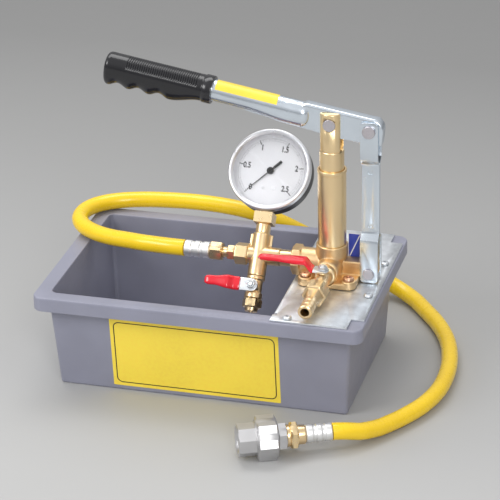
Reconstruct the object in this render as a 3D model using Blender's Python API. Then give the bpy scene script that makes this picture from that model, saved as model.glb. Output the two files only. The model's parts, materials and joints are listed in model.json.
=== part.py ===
"""Hand-operated hydrostatic test pump on its water tank, in metres, +Z up.

The origin is the centre of the tank's underside. +X runs along the tank toward the
pump end, +Y away from the side that the gauge faces. The hand lever is drawn where it
rests, a little above level, and every moving piece has its origin on its joint's axis.
"""
import bpy
import bmesh
from math import atan, cos, pi, radians, sin, sqrt, tan
from mathutils import Vector

# Clearances shared by every piece
SEAT_GAP = 0.0003
RUN_GAP = 0.0004
OVERRUN = 0.002

# Tank
RIM_LENGTH = 0.330
RIM_WIDTH = 0.219
TANK_HEIGHT = 0.1035
TANK_WALL = 0.003
RIM_LAND = 0.0157
LIP_DROP = 0.0145
RIM_EDGE = 0.0012
RIM_CORNER = 0.0105
END_DRAFT = 0.00255
SIDE_DRAFT = 0.0063
BASE_ROUND = 0.006

# Deck plate, bent down at its left edge between the rims
DECK_SHEET = 0.0016
DECK_LEFT_REACH = 0.036
DECK_END_INSET = 0.002
DECK_SIDE_INSET = 0.0025
DECK_TAB_INSET = 0.0215
DECK_NOTCH = 0.0125
DECK_BEND = 0.0012
DECK_FLANGE_DROP = 0.009
DECK_FLANGE_GAP = 0.0022
DECK_RELIEF_WIDTH = 0.003
DECK_RELIEF_DEPTH = 0.004
WELD_NUT_FLATS = 0.010
WELD_NUT_HEIGHT = 0.0045

# Deck screws, two in the long rims and two in the end rim
SCREW_SHANK = 0.004
SCREW_HEAD = 0.009
SCREW_HEAD_HEIGHT = 0.0026
SCREW_LENGTH = 0.009
SIDE_SCREW_REACH = 0.0203
SIDE_SCREW_INSET = 0.0091
END_SCREW_INSET = 0.0095
END_SCREW_SPACING = 0.073

RECESS_REACH_SHARE = 0.26
RECESS_ARM_SHARE = 0.075
RECESS_DEPTH_SHARE = 0.16
RECESS_TAPER_SHARE = 0.6
HEAD_FLAT_SHARE = 0.62
HEAD_SIDE_SHARE = 0.45

# Pump body, one brass casting
PUMP_INSET = 0.054
PORT_RISE = 0.0139
BOLT_HALF_X = 0.0215
BOLT_HALF_Y = 0.023
BOSS_DIAMETER = 0.015
BOSS_HEIGHT = 0.0083
FOOT_THICKNESS = 0.006
BOLT_SHANK = 0.006
BOLT_HEAD = 0.011
BOLT_HEAD_HEIGHT = 0.0032
WAIST_DIAMETER = 0.027
SOCKET_WALL = 0.0018
WAIST_RISE = 0.0183
SOCKET_FLARE = 0.005
SOCKET_HEIGHT = 0.0125
SOCKET_EDGE = 0.0007
SOCKET_DEPTH = 0.0105
CHAMBER_DIAMETER = 0.018
CHAMBER_RISE = 0.0178
ARM_DIAMETER = 0.0266
ARM_HEX_FLATS = 0.027
ARM_HEX_LENGTH = 0.010
ARM_LENGTH = 0.040
ARM_CHAMFER = 0.0012
FRONT_PORT_DIAMETER = 0.0235
FRONT_PORT_LENGTH = 0.025
FRONT_PORT_EDGE = 0.0015
LUG_THICKNESS = 0.0138
LUG_RISE = 0.0198
LUG_END_RADIUS = 0.0078

# Valve seats and balls inside the body
SUCTION_BALL = 0.009
SUCTION_CAGE = 0.011
SUCTION_SEAT_BORE = 0.0065
SUCTION_SEAT_RISE = 0.0088
SUCTION_THREAD = 0.0102
SUCTION_THREAD_DEPTH = 0.0055
DELIVERY_BALL = 0.010
DELIVERY_CAGE = 0.012
DELIVERY_SEAT_BORE = 0.007
DELIVERY_SEAT_INSET = 0.027
ARM_THREAD = 0.0135
ARM_THREAD_DEPTH = 0.0125
FRONT_BORE = 0.008

# Suction pipe and strainer, under the deck
SUCTION_PIPE_BORE = 0.0065
SUCTION_PIPE_BOTTOM = 0.012
STRAINER_DIAMETER = 0.022
STRAINER_WALL = 0.0018
STRAINER_BOTTOM = 0.0055
STRAINER_TOP = 0.029
STRAINER_SLOT_WIDTH = 0.003
STRAINER_SLOTS = 2
STRAINER_SLOT_MARGIN = 0.005
DECK_PIPE_HOLE = 0.0155

# Barrel and plunger
BARREL_DIAMETER = 0.0278
BARREL_WALL = 0.0015
BARREL_ABOVE_SOCKET = 0.0795
BARREL_COLLAR_STEP = 0.0005
BARREL_COLLAR_HEIGHT = 0.004
BARREL_EDGE = 0.0006
PLUNGER_ABOVE_SOCKET = 0.0115
PLUNGER_EDGE = 0.0008
PLUNGER_ABOVE_PIN = 0.011
PLUNGER_SLOT_BELOW_PIN = 0.0289
PLUNGER_GROOVE_DEPTH = 0.0009
PLUNGER_GROOVE_WIDTH = 0.0016
PLUNGER_SLOT_GAP = 0.0003
SEAL_DEPTH = 0.00275
SEAL_WIDTH = 0.004
SEAL_SPACING = 0.012
SEAL_FIRST = 0.005
SPOT_FACE_DEPTH = 0.0016

# Pins
PIN_DIAMETER = 0.008
PLUNGER_PIN_HEAD = 0.0125
FULCRUM_PIN_HEAD = 0.0128
LINK_PIN_HEAD = 0.011
PIN_HEAD_HEIGHT = 0.0022
PIN_TAIL_DIAMETER = 0.0105
PIN_TAIL_HEIGHT = 0.0016
PIN_EDGE = 0.0006

# Link: two joggled straps between the body's lug and the lever
LINK_REACH = 0.0385
LINK_PIN_RISE = 0.0098
LINK_LENGTH = 0.150
LINK_WIDTH = 0.0177
LINK_SHEET = 0.0023
LINK_END = 0.0093
LINK_CORNER = 0.0035
LINK_WAIST_HALF = 0.00015
LINK_LOWER_JOGGLE = 0.0325
LINK_TOP_RUN = 0.0275
LINK_JOGGLE_RUN = 0.010
JOGGLE_SHARES = ((0.25, 0.1), (0.5, 0.5), (0.75, 0.9))
WELD_DIMPLE = 0.0048
WELD_DIMPLE_DEPTH = 0.0006
WELD_DIMPLE_INSET = 0.017

# Hand lever: a steel tube pressed into an open channel at its head
LEVER_ANGLE = radians(6.0)
TUBE_DIAMETER = 0.0213
TUBE_WALL = 0.0013
TUBE_TILT = radians(3.7)
TUBE_START = 0.078
TUBE_START_RISE = 0.0046
GRIP_BORE_PLAY = 0.004
CHANNEL_SIDE_GAP = 0.0005
CHANNEL_TOP = 0.0190
CHANNEL_DEPTH = 0.0129
CHANNEL_NOSE = 0.0128
CHANNEL_ROUND = 0.0028
FLANGE_ROUND = 0.0004
PRESS_START = 0.060
PRESS_BOTTOM = 0.0068
FLANGE_FULL_DEPTH = 0.027
PRESS_SHARES = ((0.3, 0.85), (0.65, 0.6))
FLANGE_SHARES = ((0.0, 0.0), (0.36, 0.59), (0.70, 0.87), (1.0, 1.0), (1.58, 1.0))
NOSE_ROUND = 0.009
SLIT_START = 0.150
SLIT_WIDTH = 0.0012
SLIT_OPEN_WIDTH = 0.006
PIN_SLOT_PLAY = 0.0008
PIN_SLOT_TRAVEL = 0.0049

# Grip
GRIP_START = 0.1575
GRIP_LENGTH = 0.1085
GRIP_TOP_WALL = 0.00205
GRIP_SIDE_WALL = 0.00265
GRIP_RING = 0.0009
GRIP_RING_WIDTH = 0.0095
GRIP_RING_LOWER_WALL = 0.00355
GRIP_FINGER_WALL = 0.00995
GRIP_FINGER_DEPTH = 0.004
GRIP_FINGERS = 3
GRIP_FIRST_FINGER = 0.0418
GRIP_END_ROUND = 0.004
GRIP_END_WALL = 0.004

# Four-way cross; the gauge and the drain valve stand on its leaning arms
NIPPLE_LENGTH = 0.0125
STACK_LEAN = radians(38.0)
CROSS_ARM = 0.018
CROSS_REACH = 0.0217
CROSS_HEX_FLATS = 0.0193
CROSS_HEX_LENGTH = 0.0134
CROSS_HEX_END = 0.024
CROSS_EDGE = 0.0008
CROSS_BORE = 0.007
CROSS_THREAD = 0.0118
CROSS_THREAD_DEPTH = 0.0085
CROSS_RIB_THICKNESS = 0.0026
CROSS_RIB_OUT = 0.0022

# Delivery nipple between the body's arm and the cross
NIPPLE_DIAMETER = 0.0164
NIPPLE_BORE = 0.0065

# Gauge
GAUGE_STEM_NECK = 0.0145
GAUGE_NECK_LENGTH = 0.0099
GAUGE_BLOCK = 0.0185
GAUGE_BLOCK_EDGE = 0.0012
GAUGE_BLOCK_HEIGHT = 0.01105
GAUGE_CASE_INSET = 0.00075
GAUGE_CASE_WALL = 0.0015
GAUGE_BACK = 0.0114
GAUGE_CASE_FRONT = 0.0047
GAUGE_FACE = 0.0136
GAUGE_BEZEL = 0.0835
GAUGE_BEZEL_EDGE = 0.0012
GAUGE_OPENING_INSET = 0.00525
GAUGE_FLARE_INSET = 0.003
GAUGE_LIP = 0.0019
GAUGE_GLASS_INSET = 0.00275
GAUGE_GLASS_THICKNESS = 0.002
GAUGE_DIAL_INSET = 0.00165
GAUGE_DIAL_THICKNESS = 0.001
GAUGE_POST = 0.008
GAUGE_POST_BELOW = 0.025
MOVEMENT_WIDTH = 0.016
MOVEMENT_ABOVE = 0.009
MOVEMENT_BACK = 0.0007
MOVEMENT_FRONT = 0.004
SPINDLE = 0.0016
BOURDON_INSET = 0.0125
BOURDON_TUBE = 0.005
BOURDON_BACK = 0.0037
BOURDON_SWEEP = radians(250)
BOURDON_POINTS = 14
POINTER_HUB = 0.0064
POINTER_HUB_HEIGHT = 0.0022
POINTER_TIP_GAP = 0.007
POINTER_TAIL = 0.0145
POINTER_WIDTH = 0.0011
POINTER_TAIL_WIDTH = 0.0027
POINTER_SHEET = 0.0006
POINTER_LIFT = 0.0008

# Small ball valves, their stems, levers and sleeves
VALVE_SPIGOT = 0.011
VALVE_SPIGOT_DEPTH = 0.0095
VALVE_BALL = 0.0095
VALVE_BALL_PLAY = 0.00035
VALVE_BORE = 0.006
STEM_DIAMETER = 0.005
STEM_NECK = 0.0095
LEVER_SHEET = 0.0018
SLEEVE_WALL = 0.0013
LEVER_NUT_FLATS = 0.008
LEVER_NUT_HEIGHT = 0.0036
STEM_TIP = 0.0008
SLEEVE_SHARES = (0.0, 0.12, 0.24, 0.36, 0.46, 0.56, 0.72, 0.88, 1.0)
SLEEVE_SLIM_SHARE = 0.5
SLEEVE_ROUND_SHARE = 0.45

# Drain valve, listed down the stack from the cross
DRAIN_RING = 0.0183
DRAIN_RING_LENGTH = 0.0032
DRAIN_WAIST = 0.0150
DRAIN_RING_TO_STEM = 0.0078
DRAIN_STEM_TO_RING = 0.0057
DRAIN_LOWER_RING = 0.0175
DRAIN_LOWER_RING_LENGTH = 0.0055
DRAIN_NUT_FLATS = 0.017
DRAIN_NUT_LENGTH = 0.009
DRAIN_TIP_LENGTH = 0.0038
DRAIN_TIP = 0.0125
DRAIN_OUTLET = 0.0055
DRAIN_NECK_TOP = 0.0126
DRAIN_LEVER_LENGTH = 0.047
DRAIN_LEVER_WIDTH = 0.0125
DRAIN_LEVER_TONGUE = 0.0085
DRAIN_SLEEVE_START = 0.012
DRAIN_JOGGLE = 0.004
DRAIN_JOGGLE_START = 0.017
DRAIN_JOGGLE_RUN = 0.007

# Outlet valve on the body's front port, and its hose barb
OUTLET_COLLAR = 0.020
OUTLET_COLLAR_LENGTH = 0.0057
OUTLET_WAIST = 0.0150
OUTLET_COLLAR_TO_STEM = 0.008
OUTLET_STEM_TO_RING = 0.011
OUTLET_END_RING = 0.017
OUTLET_END_RING_LENGTH = 0.010
OUTLET_NECK_TOP = 0.0090
OUTLET_LEVER_LENGTH = 0.0645
OUTLET_LEVER_WIDTH = 0.012
OUTLET_LEVER_TONGUE = 0.008
OUTLET_SLEEVE_START = 0.0095
OUTLET_JOGGLE = 0.008
OUTLET_JOGGLE_START = 0.010
OUTLET_JOGGLE_RUN = 0.008
BARB_HEX_FLATS = 0.021
BARB_HEX_LENGTH = 0.0167
BARB_CONE_LENGTH = 0.011
BARB_CONE = 0.0165
BARB_NECK = 0.0125
BARB_RIDGE = 0.0145
BARB_RIDGE_PITCH = 0.008
BARB_RIDGES = 3
BARB_BORE = 0.0085

# Hose end at the pump
ADAPTER_HEX_FLATS = 0.0135
ADAPTER_HEX_LENGTH = 0.0078
ADAPTER_NECK = 0.0105
ADAPTER_NECK_LENGTH = 0.005
ADAPTER_STUB_LENGTH = 0.0048
HOSE_NUT_FLATS = 0.017
HOSE_NUT_LENGTH = 0.0124
FERRULE_DIAMETER = 0.0165
FERRULE_LENGTH = 0.0265
FERRULE_CRIMP_DEPTH = 0.0007
FERRULE_CRIMP_WIDTH = 0.004
FERRULE_EDGE = 0.001
HOSE_TAIL = 0.0085
HOSE_TAIL_BORE = 0.005

# Hose
HOSE_DIAMETER = 0.017
HOSE_POINT_SPACING = 0.0135
HOSE_ROUTE = (
    (-0.0402, 0.0, 0.1196), (-0.0442, 0.0, 0.1196), (-0.060, 0.001, 0.1193), (-0.085, 0.006, 0.1176),
    (-0.105, 0.013, 0.1154), (-0.125, 0.020, 0.1133), (-0.144, 0.029, 0.1124),
    (-0.160, 0.041, 0.1124), (-0.170, 0.057, 0.1124), (-0.172, 0.074, 0.1124),
    (-0.167, 0.089, 0.1124), (-0.157, 0.101, 0.1124), (-0.142, 0.1105, 0.1124),
    (-0.122, 0.117, 0.1126), (-0.097, 0.121, 0.1128), (-0.070, 0.1227, 0.113),
    (-0.045, 0.1225, 0.1126), (-0.022, 0.1214, 0.1113), (-0.004, 0.1212, 0.1085),
    (0.012, 0.1238, 0.1035), (0.026, 0.1290, 0.0960), (0.038, 0.1354, 0.0873),
    (0.0495, 0.1425, 0.0780), (0.060, 0.1500, 0.0683), (0.070, 0.1575, 0.0583),
    (0.0805, 0.1645, 0.0482), (0.0925, 0.1705, 0.0382), (0.1055, 0.1745, 0.0285),
    (0.120, 0.1755, 0.0205), (0.136, 0.1730, 0.0142), (0.1505, 0.1655, 0.0104),
    (0.1635, 0.1535, 0.0090), (0.175, 0.1385, 0.0086), (0.198, 0.1045, 0.0086),
    (0.214, 0.070, 0.0086), (0.2235, 0.034, 0.0086), (0.227, 0.0, 0.0086),
    (0.225, -0.034, 0.0086), (0.216, -0.066, 0.0086), (0.203, -0.092, 0.0087),
    (0.1935, -0.1075, 0.0091), (0.1839, -0.1221, 0.0102), (0.1728, -0.1363, 0.0132),
    (0.1662, -0.1424, 0.0156), (0.1588, -0.1477, 0.0178), (0.1509, -0.1519, 0.0190),
    (0.14735, -0.15351, 0.0190),
)

# Union at the hose's far end, lying on the floor
UNION_END_X = 0.1233
UNION_END_Y = -0.1644
UNION_NUT_FLATS = 0.038
UNION_HEADING = radians(24.4)
END_FERRULE_LENGTH = 0.026
END_FERRULE_DIAMETER = 0.0175
END_NECK = 0.0150
END_NECK_LENGTH = 0.0073
END_HEX_FLATS = 0.025
END_HEX_LENGTH = 0.0103
TAIL_HEX_FLATS = 0.0244
TAIL_HEX_LENGTH = 0.0086
TAIL_FLANGE_CLEARANCE = 0.0005
TAIL_FLANGE_GAP = 0.0025
TAIL_FLANGE_THICKNESS = 0.005
UNION_NUT_BACK_GAP = 0.0005
UNION_NUT_LENGTH = 0.020
UNION_NUT_LIP = 0.004
UNION_EDGE = 0.0015
UNION_NUT_WALL = 0.00275
HEAD_HEX_FLATS = 0.0295
HEAD_FLANGE_GAP = 0.001
HEAD_LENGTH = 0.0175
UNION_BORE = 0.0125
HEAD_SOCKET = 0.0195
HEAD_SOCKET_DEPTH = 0.013
TAIL_THREAD = 0.0145

# Heights, places and fits that follow from the values above
BASE_LENGTH = RIM_LENGTH - 2 * (RIM_LAND + END_DRAFT)
BASE_WIDTH = RIM_WIDTH - 2 * (RIM_LAND + SIDE_DRAFT)
DECK_BOTTOM = TANK_HEIGHT + SEAT_GAP
DECK_TOP = DECK_BOTTOM + DECK_SHEET
FOOT_BOTTOM = DECK_TOP + SEAT_GAP
PUMP_X = RIM_LENGTH / 2 - PUMP_INSET
DECK_LEFT = PUMP_X - DECK_LEFT_REACH
DECK_RIGHT = RIM_LENGTH / 2 - DECK_END_INSET
DECK_WIDTH = RIM_WIDTH - 2 * DECK_SIDE_INSET
DECK_TAB_WIDTH = RIM_WIDTH - 2 * DECK_TAB_INSET
SIDE_SCREW_X = PUMP_X - SIDE_SCREW_REACH

PORT_Z = FOOT_BOTTOM + PORT_RISE
WAIST_TOP = FOOT_BOTTOM + WAIST_RISE
SOCKET_START = WAIST_TOP + SOCKET_FLARE
SOCKET_TOP = SOCKET_START + SOCKET_HEIGHT
SOCKET_DIAMETER = BARREL_DIAMETER + 2 * SOCKET_WALL
CHAMBER_BOTTOM = FOOT_BOTTOM + CHAMBER_RISE
SUCTION_SEAT_Z = FOOT_BOTTOM + SUCTION_SEAT_RISE
ARM_HEX_START = ARM_LENGTH - ARM_HEX_LENGTH
LUG_TOP = FOOT_BOTTOM + LUG_RISE
BARREL_BORE = BARREL_DIAMETER - 2 * BARREL_WALL
BARREL_COLLAR = BARREL_DIAMETER + 2 * BARREL_COLLAR_STEP
BARREL_TOP = SOCKET_TOP + BARREL_ABOVE_SOCKET
PLUNGER_DIAMETER = BARREL_BORE - 2 * RUN_GAP
PLUNGER_BOTTOM = SOCKET_TOP + PLUNGER_ABOVE_SOCKET
SEAL_ROOT = PLUNGER_DIAMETER - 2 * SEAL_DEPTH
SPOT_FACE_HALF = PLUNGER_DIAMETER / 2 - SPOT_FACE_DEPTH

PIN_HOLE = PIN_DIAMETER + 2 * RUN_GAP
LINK_X = PUMP_X + LINK_REACH
LINK_PIN_Z = FOOT_BOTTOM + LINK_PIN_RISE
LINK_INNER_HALF = LUG_THICKNESS / 2 + SEAT_GAP
LINK_UPPER_JOGGLE = LINK_LENGTH - LINK_TOP_RUN
FULCRUM_Z = LINK_PIN_Z + LINK_LENGTH
PLUNGER_PIN_Z = FULCRUM_Z + (LINK_X - PUMP_X) * tan(LEVER_ANGLE)
PLUNGER_PIN_REACH = (LINK_X - PUMP_X) / cos(LEVER_ANGLE)
CHANNEL_WIDTH = LUG_THICKNESS - 2 * CHANNEL_SIDE_GAP
TUBE_END = GRIP_START + GRIP_LENGTH - GRIP_END_WALL - GRIP_BORE_PLAY
GRIP_TOP = TUBE_DIAMETER / 2 + GRIP_TOP_WALL
GRIP_HALF_WIDTH = TUBE_DIAMETER / 2 + GRIP_SIDE_WALL
GRIP_RING_BOTTOM = TUBE_DIAMETER / 2 + GRIP_RING_LOWER_WALL
GRIP_FINGER_BOTTOM = TUBE_DIAMETER / 2 + GRIP_FINGER_WALL
GRIP_FINGER_PITCH = (GRIP_LENGTH - GRIP_END_ROUND - GRIP_FIRST_FINGER) / GRIP_FINGERS

CROSS_X = PUMP_X - ARM_LENGTH - NIPPLE_LENGTH - CROSS_REACH
CROSS_HEX_START = CROSS_HEX_END - CROSS_HEX_LENGTH
GAUGE_BLOCK_START = CROSS_REACH + SEAT_GAP + GAUGE_NECK_LENGTH
GAUGE_CENTRE = GAUGE_BLOCK_START + GAUGE_BLOCK_HEIGHT + SEAT_GAP + GAUGE_BEZEL / 2
GAUGE_CASE = GAUGE_BEZEL - 2 * GAUGE_CASE_INSET
GAUGE_OPENING = GAUGE_BEZEL - 2 * GAUGE_OPENING_INSET
GAUGE_OPENING_FLARE = GAUGE_BEZEL - 2 * GAUGE_FLARE_INSET
GAUGE_GLASS = GAUGE_BEZEL - 2 * GAUGE_GLASS_INSET
GAUGE_DIAL = GAUGE_BEZEL - 2 * GAUGE_DIAL_INSET
GAUGE_POST_TOP = GAUGE_CENTRE - GAUGE_POST_BELOW
MOVEMENT_TOP = GAUGE_CENTRE + MOVEMENT_ABOVE
BOURDON_RADIUS = GAUGE_CASE / 2 - GAUGE_CASE_WALL - BOURDON_INSET
POINTER_LENGTH = GAUGE_OPENING / 2 - POINTER_TIP_GAP

VALVE_CAVITY = VALVE_BALL + 2 * VALVE_BALL_PLAY
DRAIN_RING_END = CROSS_REACH + SEAT_GAP + DRAIN_RING_LENGTH
DRAIN_STEM_AT = DRAIN_RING_END + DRAIN_RING_TO_STEM
DRAIN_WAIST_END = DRAIN_STEM_AT + DRAIN_STEM_TO_RING
DRAIN_BODY_END = DRAIN_WAIST_END + DRAIN_LOWER_RING_LENGTH
DRAIN_NUT_END = DRAIN_BODY_END + SEAT_GAP + DRAIN_NUT_LENGTH
DRAIN_TIP_END = DRAIN_NUT_END + DRAIN_TIP_LENGTH
DRAIN_JOGGLE_END = DRAIN_JOGGLE_START + DRAIN_JOGGLE_RUN
OUTLET_COLLAR_END = FRONT_PORT_LENGTH + SEAT_GAP + OUTLET_COLLAR_LENGTH
OUTLET_STEM_AT = OUTLET_COLLAR_END + OUTLET_COLLAR_TO_STEM
OUTLET_WAIST_END = OUTLET_STEM_AT + OUTLET_STEM_TO_RING
OUTLET_END = OUTLET_WAIST_END + OUTLET_END_RING_LENGTH
OUTLET_JOGGLE_END = OUTLET_JOGGLE_START + OUTLET_JOGGLE_RUN
BARB_HEX_END = OUTLET_END + SEAT_GAP + BARB_HEX_LENGTH
BARB_CONE_END = BARB_HEX_END + BARB_CONE_LENGTH

ADAPTER_HEX_END = CROSS_HEX_END + SEAT_GAP + ADAPTER_HEX_LENGTH
ADAPTER_NECK_END = ADAPTER_HEX_END + ADAPTER_NECK_LENGTH
ADAPTER_STUB_END = ADAPTER_NECK_END + ADAPTER_STUB_LENGTH
HOSE_NUT_END = ADAPTER_NECK_END + SEAT_GAP + HOSE_NUT_LENGTH
FERRULE_END = HOSE_NUT_END + SEAT_GAP + FERRULE_LENGTH
END_HEX_END = END_NECK_LENGTH + END_HEX_LENGTH
TAIL_HEX_END = END_HEX_END + SEAT_GAP + TAIL_HEX_LENGTH
UNION_NUT_START = TAIL_HEX_END + UNION_NUT_BACK_GAP
UNION_NUT_END = UNION_NUT_START + UNION_NUT_LENGTH
HEAD_THREAD = UNION_NUT_FLATS - 2 * UNION_NUT_WALL
TAIL_FLANGE = HEAD_THREAD - 2 * TAIL_FLANGE_CLEARANCE
TAIL_FLANGE_START = UNION_NUT_START + UNION_NUT_LIP + TAIL_FLANGE_GAP
TAIL_FLANGE_END = TAIL_FLANGE_START + TAIL_FLANGE_THICKNESS
HEAD_START = TAIL_FLANGE_END + HEAD_FLANGE_GAP
HEAD_END = UNION_NUT_END + SEAT_GAP + HEAD_LENGTH

BRASS = ("brass", (0.72, 0.50, 0.24), 0.28, 1.0)
MACHINED = ("machined_brass", (0.80, 0.56, 0.26), 0.16, 1.0)
COPPER = ("coppered_steel", (0.72, 0.42, 0.28), 0.30, 1.0)
ZINC = ("zinc_plate", (0.68, 0.72, 0.74), 0.38, 1.0)
LEVER_STEEL = ("pressed_steel", (0.72, 0.80, 0.86), 0.25, 1.0)
STAINLESS = ("stainless_steel", (0.62, 0.61, 0.58), 0.25, 1.0)
FERRULE = ("white_ferrule", (0.82, 0.82, 0.80), 0.40, 0.5)
GREY = ("grey_plastic", (0.27, 0.28, 0.30), 0.50, 0.0)
BLACK = ("black_plastic", (0.012, 0.012, 0.014), 0.28, 0.0)
BLACK_PAINT = ("black_case", (0.015, 0.015, 0.016), 0.40, 0.0)
RED = ("red_sleeve", (0.75, 0.03, 0.05), 0.25, 0.0)
YELLOW = ("yellow_hose", (0.95, 0.55, 0.02), 0.30, 0.0)
DIAL_WHITE = ("dial_white", (0.85, 0.85, 0.88), 0.50, 0.0)
CLEAR = ("clear_glass", (0.90, 0.93, 0.95), 0.05, 0.0)
SEAL_RUBBER = ("seal_rubber", (0.02, 0.02, 0.02), 0.60, 0.0)


def material(entry):
    name, colour, roughness, metallic = entry
    found = bpy.data.materials.get(name)
    if found:
        return found
    made = bpy.data.materials.new(name)
    made.use_nodes = True
    shader = made.node_tree.nodes["Principled BSDF"]
    shader.inputs["Base Color"].default_value = (*colour, 1.0)
    shader.inputs["Roughness"].default_value = roughness
    shader.inputs["Metallic"].default_value = metallic
    return made


def add_object(name, data, look=None, at=(0, 0, 0), turn=(0, 0, 0), parent=None):
    """Link an object; turn is an XYZ rotation, and both follow the parent if there is one."""
    made = bpy.data.objects.new(name, data)
    bpy.context.scene.collection.objects.link(made)
    made.location = at
    made.rotation_euler = turn
    made.parent = parent
    if look:
        data.materials.append(material(look))
    return made


def mesh_object(name, mesh, look, smooth=radians(32), **placing):
    """Turn a bmesh into an object whose faces point outward and whose round sides shade smooth."""
    bmesh.ops.recalc_face_normals(mesh, faces=mesh.faces)
    data = bpy.data.meshes.new(name)
    mesh.to_mesh(data)
    mesh.free()
    data.shade_smooth()
    data.set_sharp_from_angle(angle=smooth)
    return add_object(name, data, look, **placing)


def loft(rings, pierced=False):
    """Skin rings of equal count in order; a pierced loft closes on itself, others are capped."""
    mesh = bmesh.new()
    rows = [[mesh.verts.new(point) for point in ring] for ring in rings]
    if pierced:
        rows.append(rows[0])
    for row, following in zip(rows, rows[1:]):
        for index in range(len(row)):
            after = (index + 1) % len(row)
            mesh.faces.new((row[index], row[after], following[after], following[index]))
    if not pierced:
        mesh.faces.new(rows[0])
        mesh.faces.new(rows[-1])
    return mesh


def ring_points(size, height, sides=0, count=16, twist=0):
    """Points round local Z: a circle of this diameter, or a polygon this wide across flats."""
    points = []
    for step in range(count):
        turn = 2 * pi * step / count
        radius = size / 2
        if sides:
            sector = 2 * pi / sides
            radius /= cos(turn % sector - sector / 2)
        points.append((radius * cos(turn + twist), radius * sin(turn + twist), height))
    return points


def turned(name, profile, look, count=16, pierced=False, twist=0, **placing):
    """A turned or milled piece from (size, height, sides) rows along local Z."""
    rings = [ring_points(*row, count=count, twist=twist) for row in profile]
    return mesh_object(name, loft(rings, pierced), look, **placing)


def frame_empty(name, at, turn, parent=None):
    """An empty that carries the pieces of one tilted or moving group."""
    return add_object(name, None, at=at, turn=turn, parent=parent)


def rounded_rectangle(length, width, corner, height, steps=4):
    """Points of a rounded rectangle centred on local Z, anticlockwise."""
    points = []
    for quarter, (side_x, side_y) in enumerate(((1, 1), (-1, 1), (-1, -1), (1, -1))):
        centre_x = side_x * (length / 2 - corner)
        centre_y = side_y * (width / 2 - corner)
        for step in range(steps + 1):
            angle = pi / 2 * (quarter + step / steps)
            points.append((centre_x + corner * cos(angle), centre_y + corner * sin(angle), height))
    return points


def prism(outline, low, high):
    """A bmesh prism over an outline in local XY, between two heights."""
    return loft([[(x, y, low) for x, y in outline], [(x, y, high) for x, y in outline]])


def join(target, other, operation):
    """Add or cut a helper solid, which stays hidden as a wire."""
    other.hide_render = True
    other.display_type = "WIRE"
    change = target.modifiers.new(other.name, "BOOLEAN")
    change.operation = operation
    change.object = other
    change.solver = "EXACT"


def add(target, other):
    join(target, other, "UNION")


def cut(target, other):
    join(target, other, "DIFFERENCE")


def rod(name, diameter, low, high, count=12, **placing):
    """A plain cylinder helper along local Z."""
    return turned(name, ((diameter, low), (diameter, high)), BRASS, count=count, **placing)


def cross_recess(name, head_diameter, top, **placing):
    """A four-armed driver recess, wide at the head's top and narrow below."""
    half = head_diameter * RECESS_REACH_SHARE
    arm = head_diameter * RECESS_ARM_SHARE
    depth = head_diameter * RECESS_DEPTH_SHARE
    outline = ((half, arm), (arm, arm), (arm, half), (-arm, half), (-arm, arm), (-half, arm),
               (-half, -arm), (-arm, -arm), (-arm, -half), (arm, -half), (arm, -arm), (half, -arm))
    rings = [[(x * RECESS_TAPER_SHARE, y * RECESS_TAPER_SHARE, top - depth) for x, y in outline],
             [(x, y, top + OVERRUN) for x, y in outline]]
    return mesh_object(name, loft(rings), BRASS, **placing)


def make_tank():
    mouth_length = RIM_LENGTH - 2 * RIM_LAND
    mouth_width = RIM_WIDTH - 2 * RIM_LAND
    inset = 2 * TANK_WALL
    lip_bottom = TANK_HEIGHT - LIP_DROP
    inner_corner = RIM_CORNER - TANK_WALL
    rows = (
        (BASE_LENGTH - inset - BASE_ROUND, BASE_WIDTH - inset - BASE_ROUND, inner_corner, TANK_WALL),
        (BASE_LENGTH - inset, BASE_WIDTH - inset, inner_corner, TANK_WALL + BASE_ROUND / 2),
        (mouth_length, mouth_width, inner_corner, TANK_HEIGHT - RIM_EDGE),
        (mouth_length + RIM_EDGE, mouth_width + RIM_EDGE, inner_corner, TANK_HEIGHT),
        (RIM_LENGTH - RIM_EDGE, RIM_WIDTH - RIM_EDGE, RIM_CORNER, TANK_HEIGHT),
        (RIM_LENGTH, RIM_WIDTH, RIM_CORNER, TANK_HEIGHT - RIM_EDGE),
        (RIM_LENGTH, RIM_WIDTH, RIM_CORNER, lip_bottom),
        (RIM_LENGTH - inset, RIM_WIDTH - inset, inner_corner, lip_bottom),
        (RIM_LENGTH - inset, RIM_WIDTH - inset, inner_corner, TANK_HEIGHT - TANK_WALL),
        (mouth_length + inset, mouth_width + inset, RIM_CORNER, TANK_HEIGHT - TANK_WALL),
        (BASE_LENGTH, BASE_WIDTH, RIM_CORNER, BASE_ROUND),
        (BASE_LENGTH - BASE_ROUND, BASE_WIDTH - BASE_ROUND, RIM_CORNER, 0),
    )
    tank = mesh_object("tank", loft([rounded_rectangle(*row) for row in rows]), GREY)
    hole = SCREW_SHANK + 2 * SEAT_GAP
    for number, (x, y) in enumerate(deck_screw_places(), 1):
        cut(tank, rod(f"rim_hole_{number}", hole, TANK_HEIGHT - TANK_WALL - OVERRUN,
                      TANK_HEIGHT + OVERRUN, at=(x, y, 0)))


def deck_screw_places():
    side_y = RIM_WIDTH / 2 - SIDE_SCREW_INSET
    end_x = RIM_LENGTH / 2 - END_SCREW_INSET
    return ((SIDE_SCREW_X, -side_y), (SIDE_SCREW_X, side_y),
            (end_x, -END_SCREW_SPACING / 2), (end_x, END_SCREW_SPACING / 2))


def foot_bolt_places():
    return [(PUMP_X + side_x * BOLT_HALF_X, side_y * BOLT_HALF_Y)
            for side_x in (-1, 1) for side_y in (-1, 1)]


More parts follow.
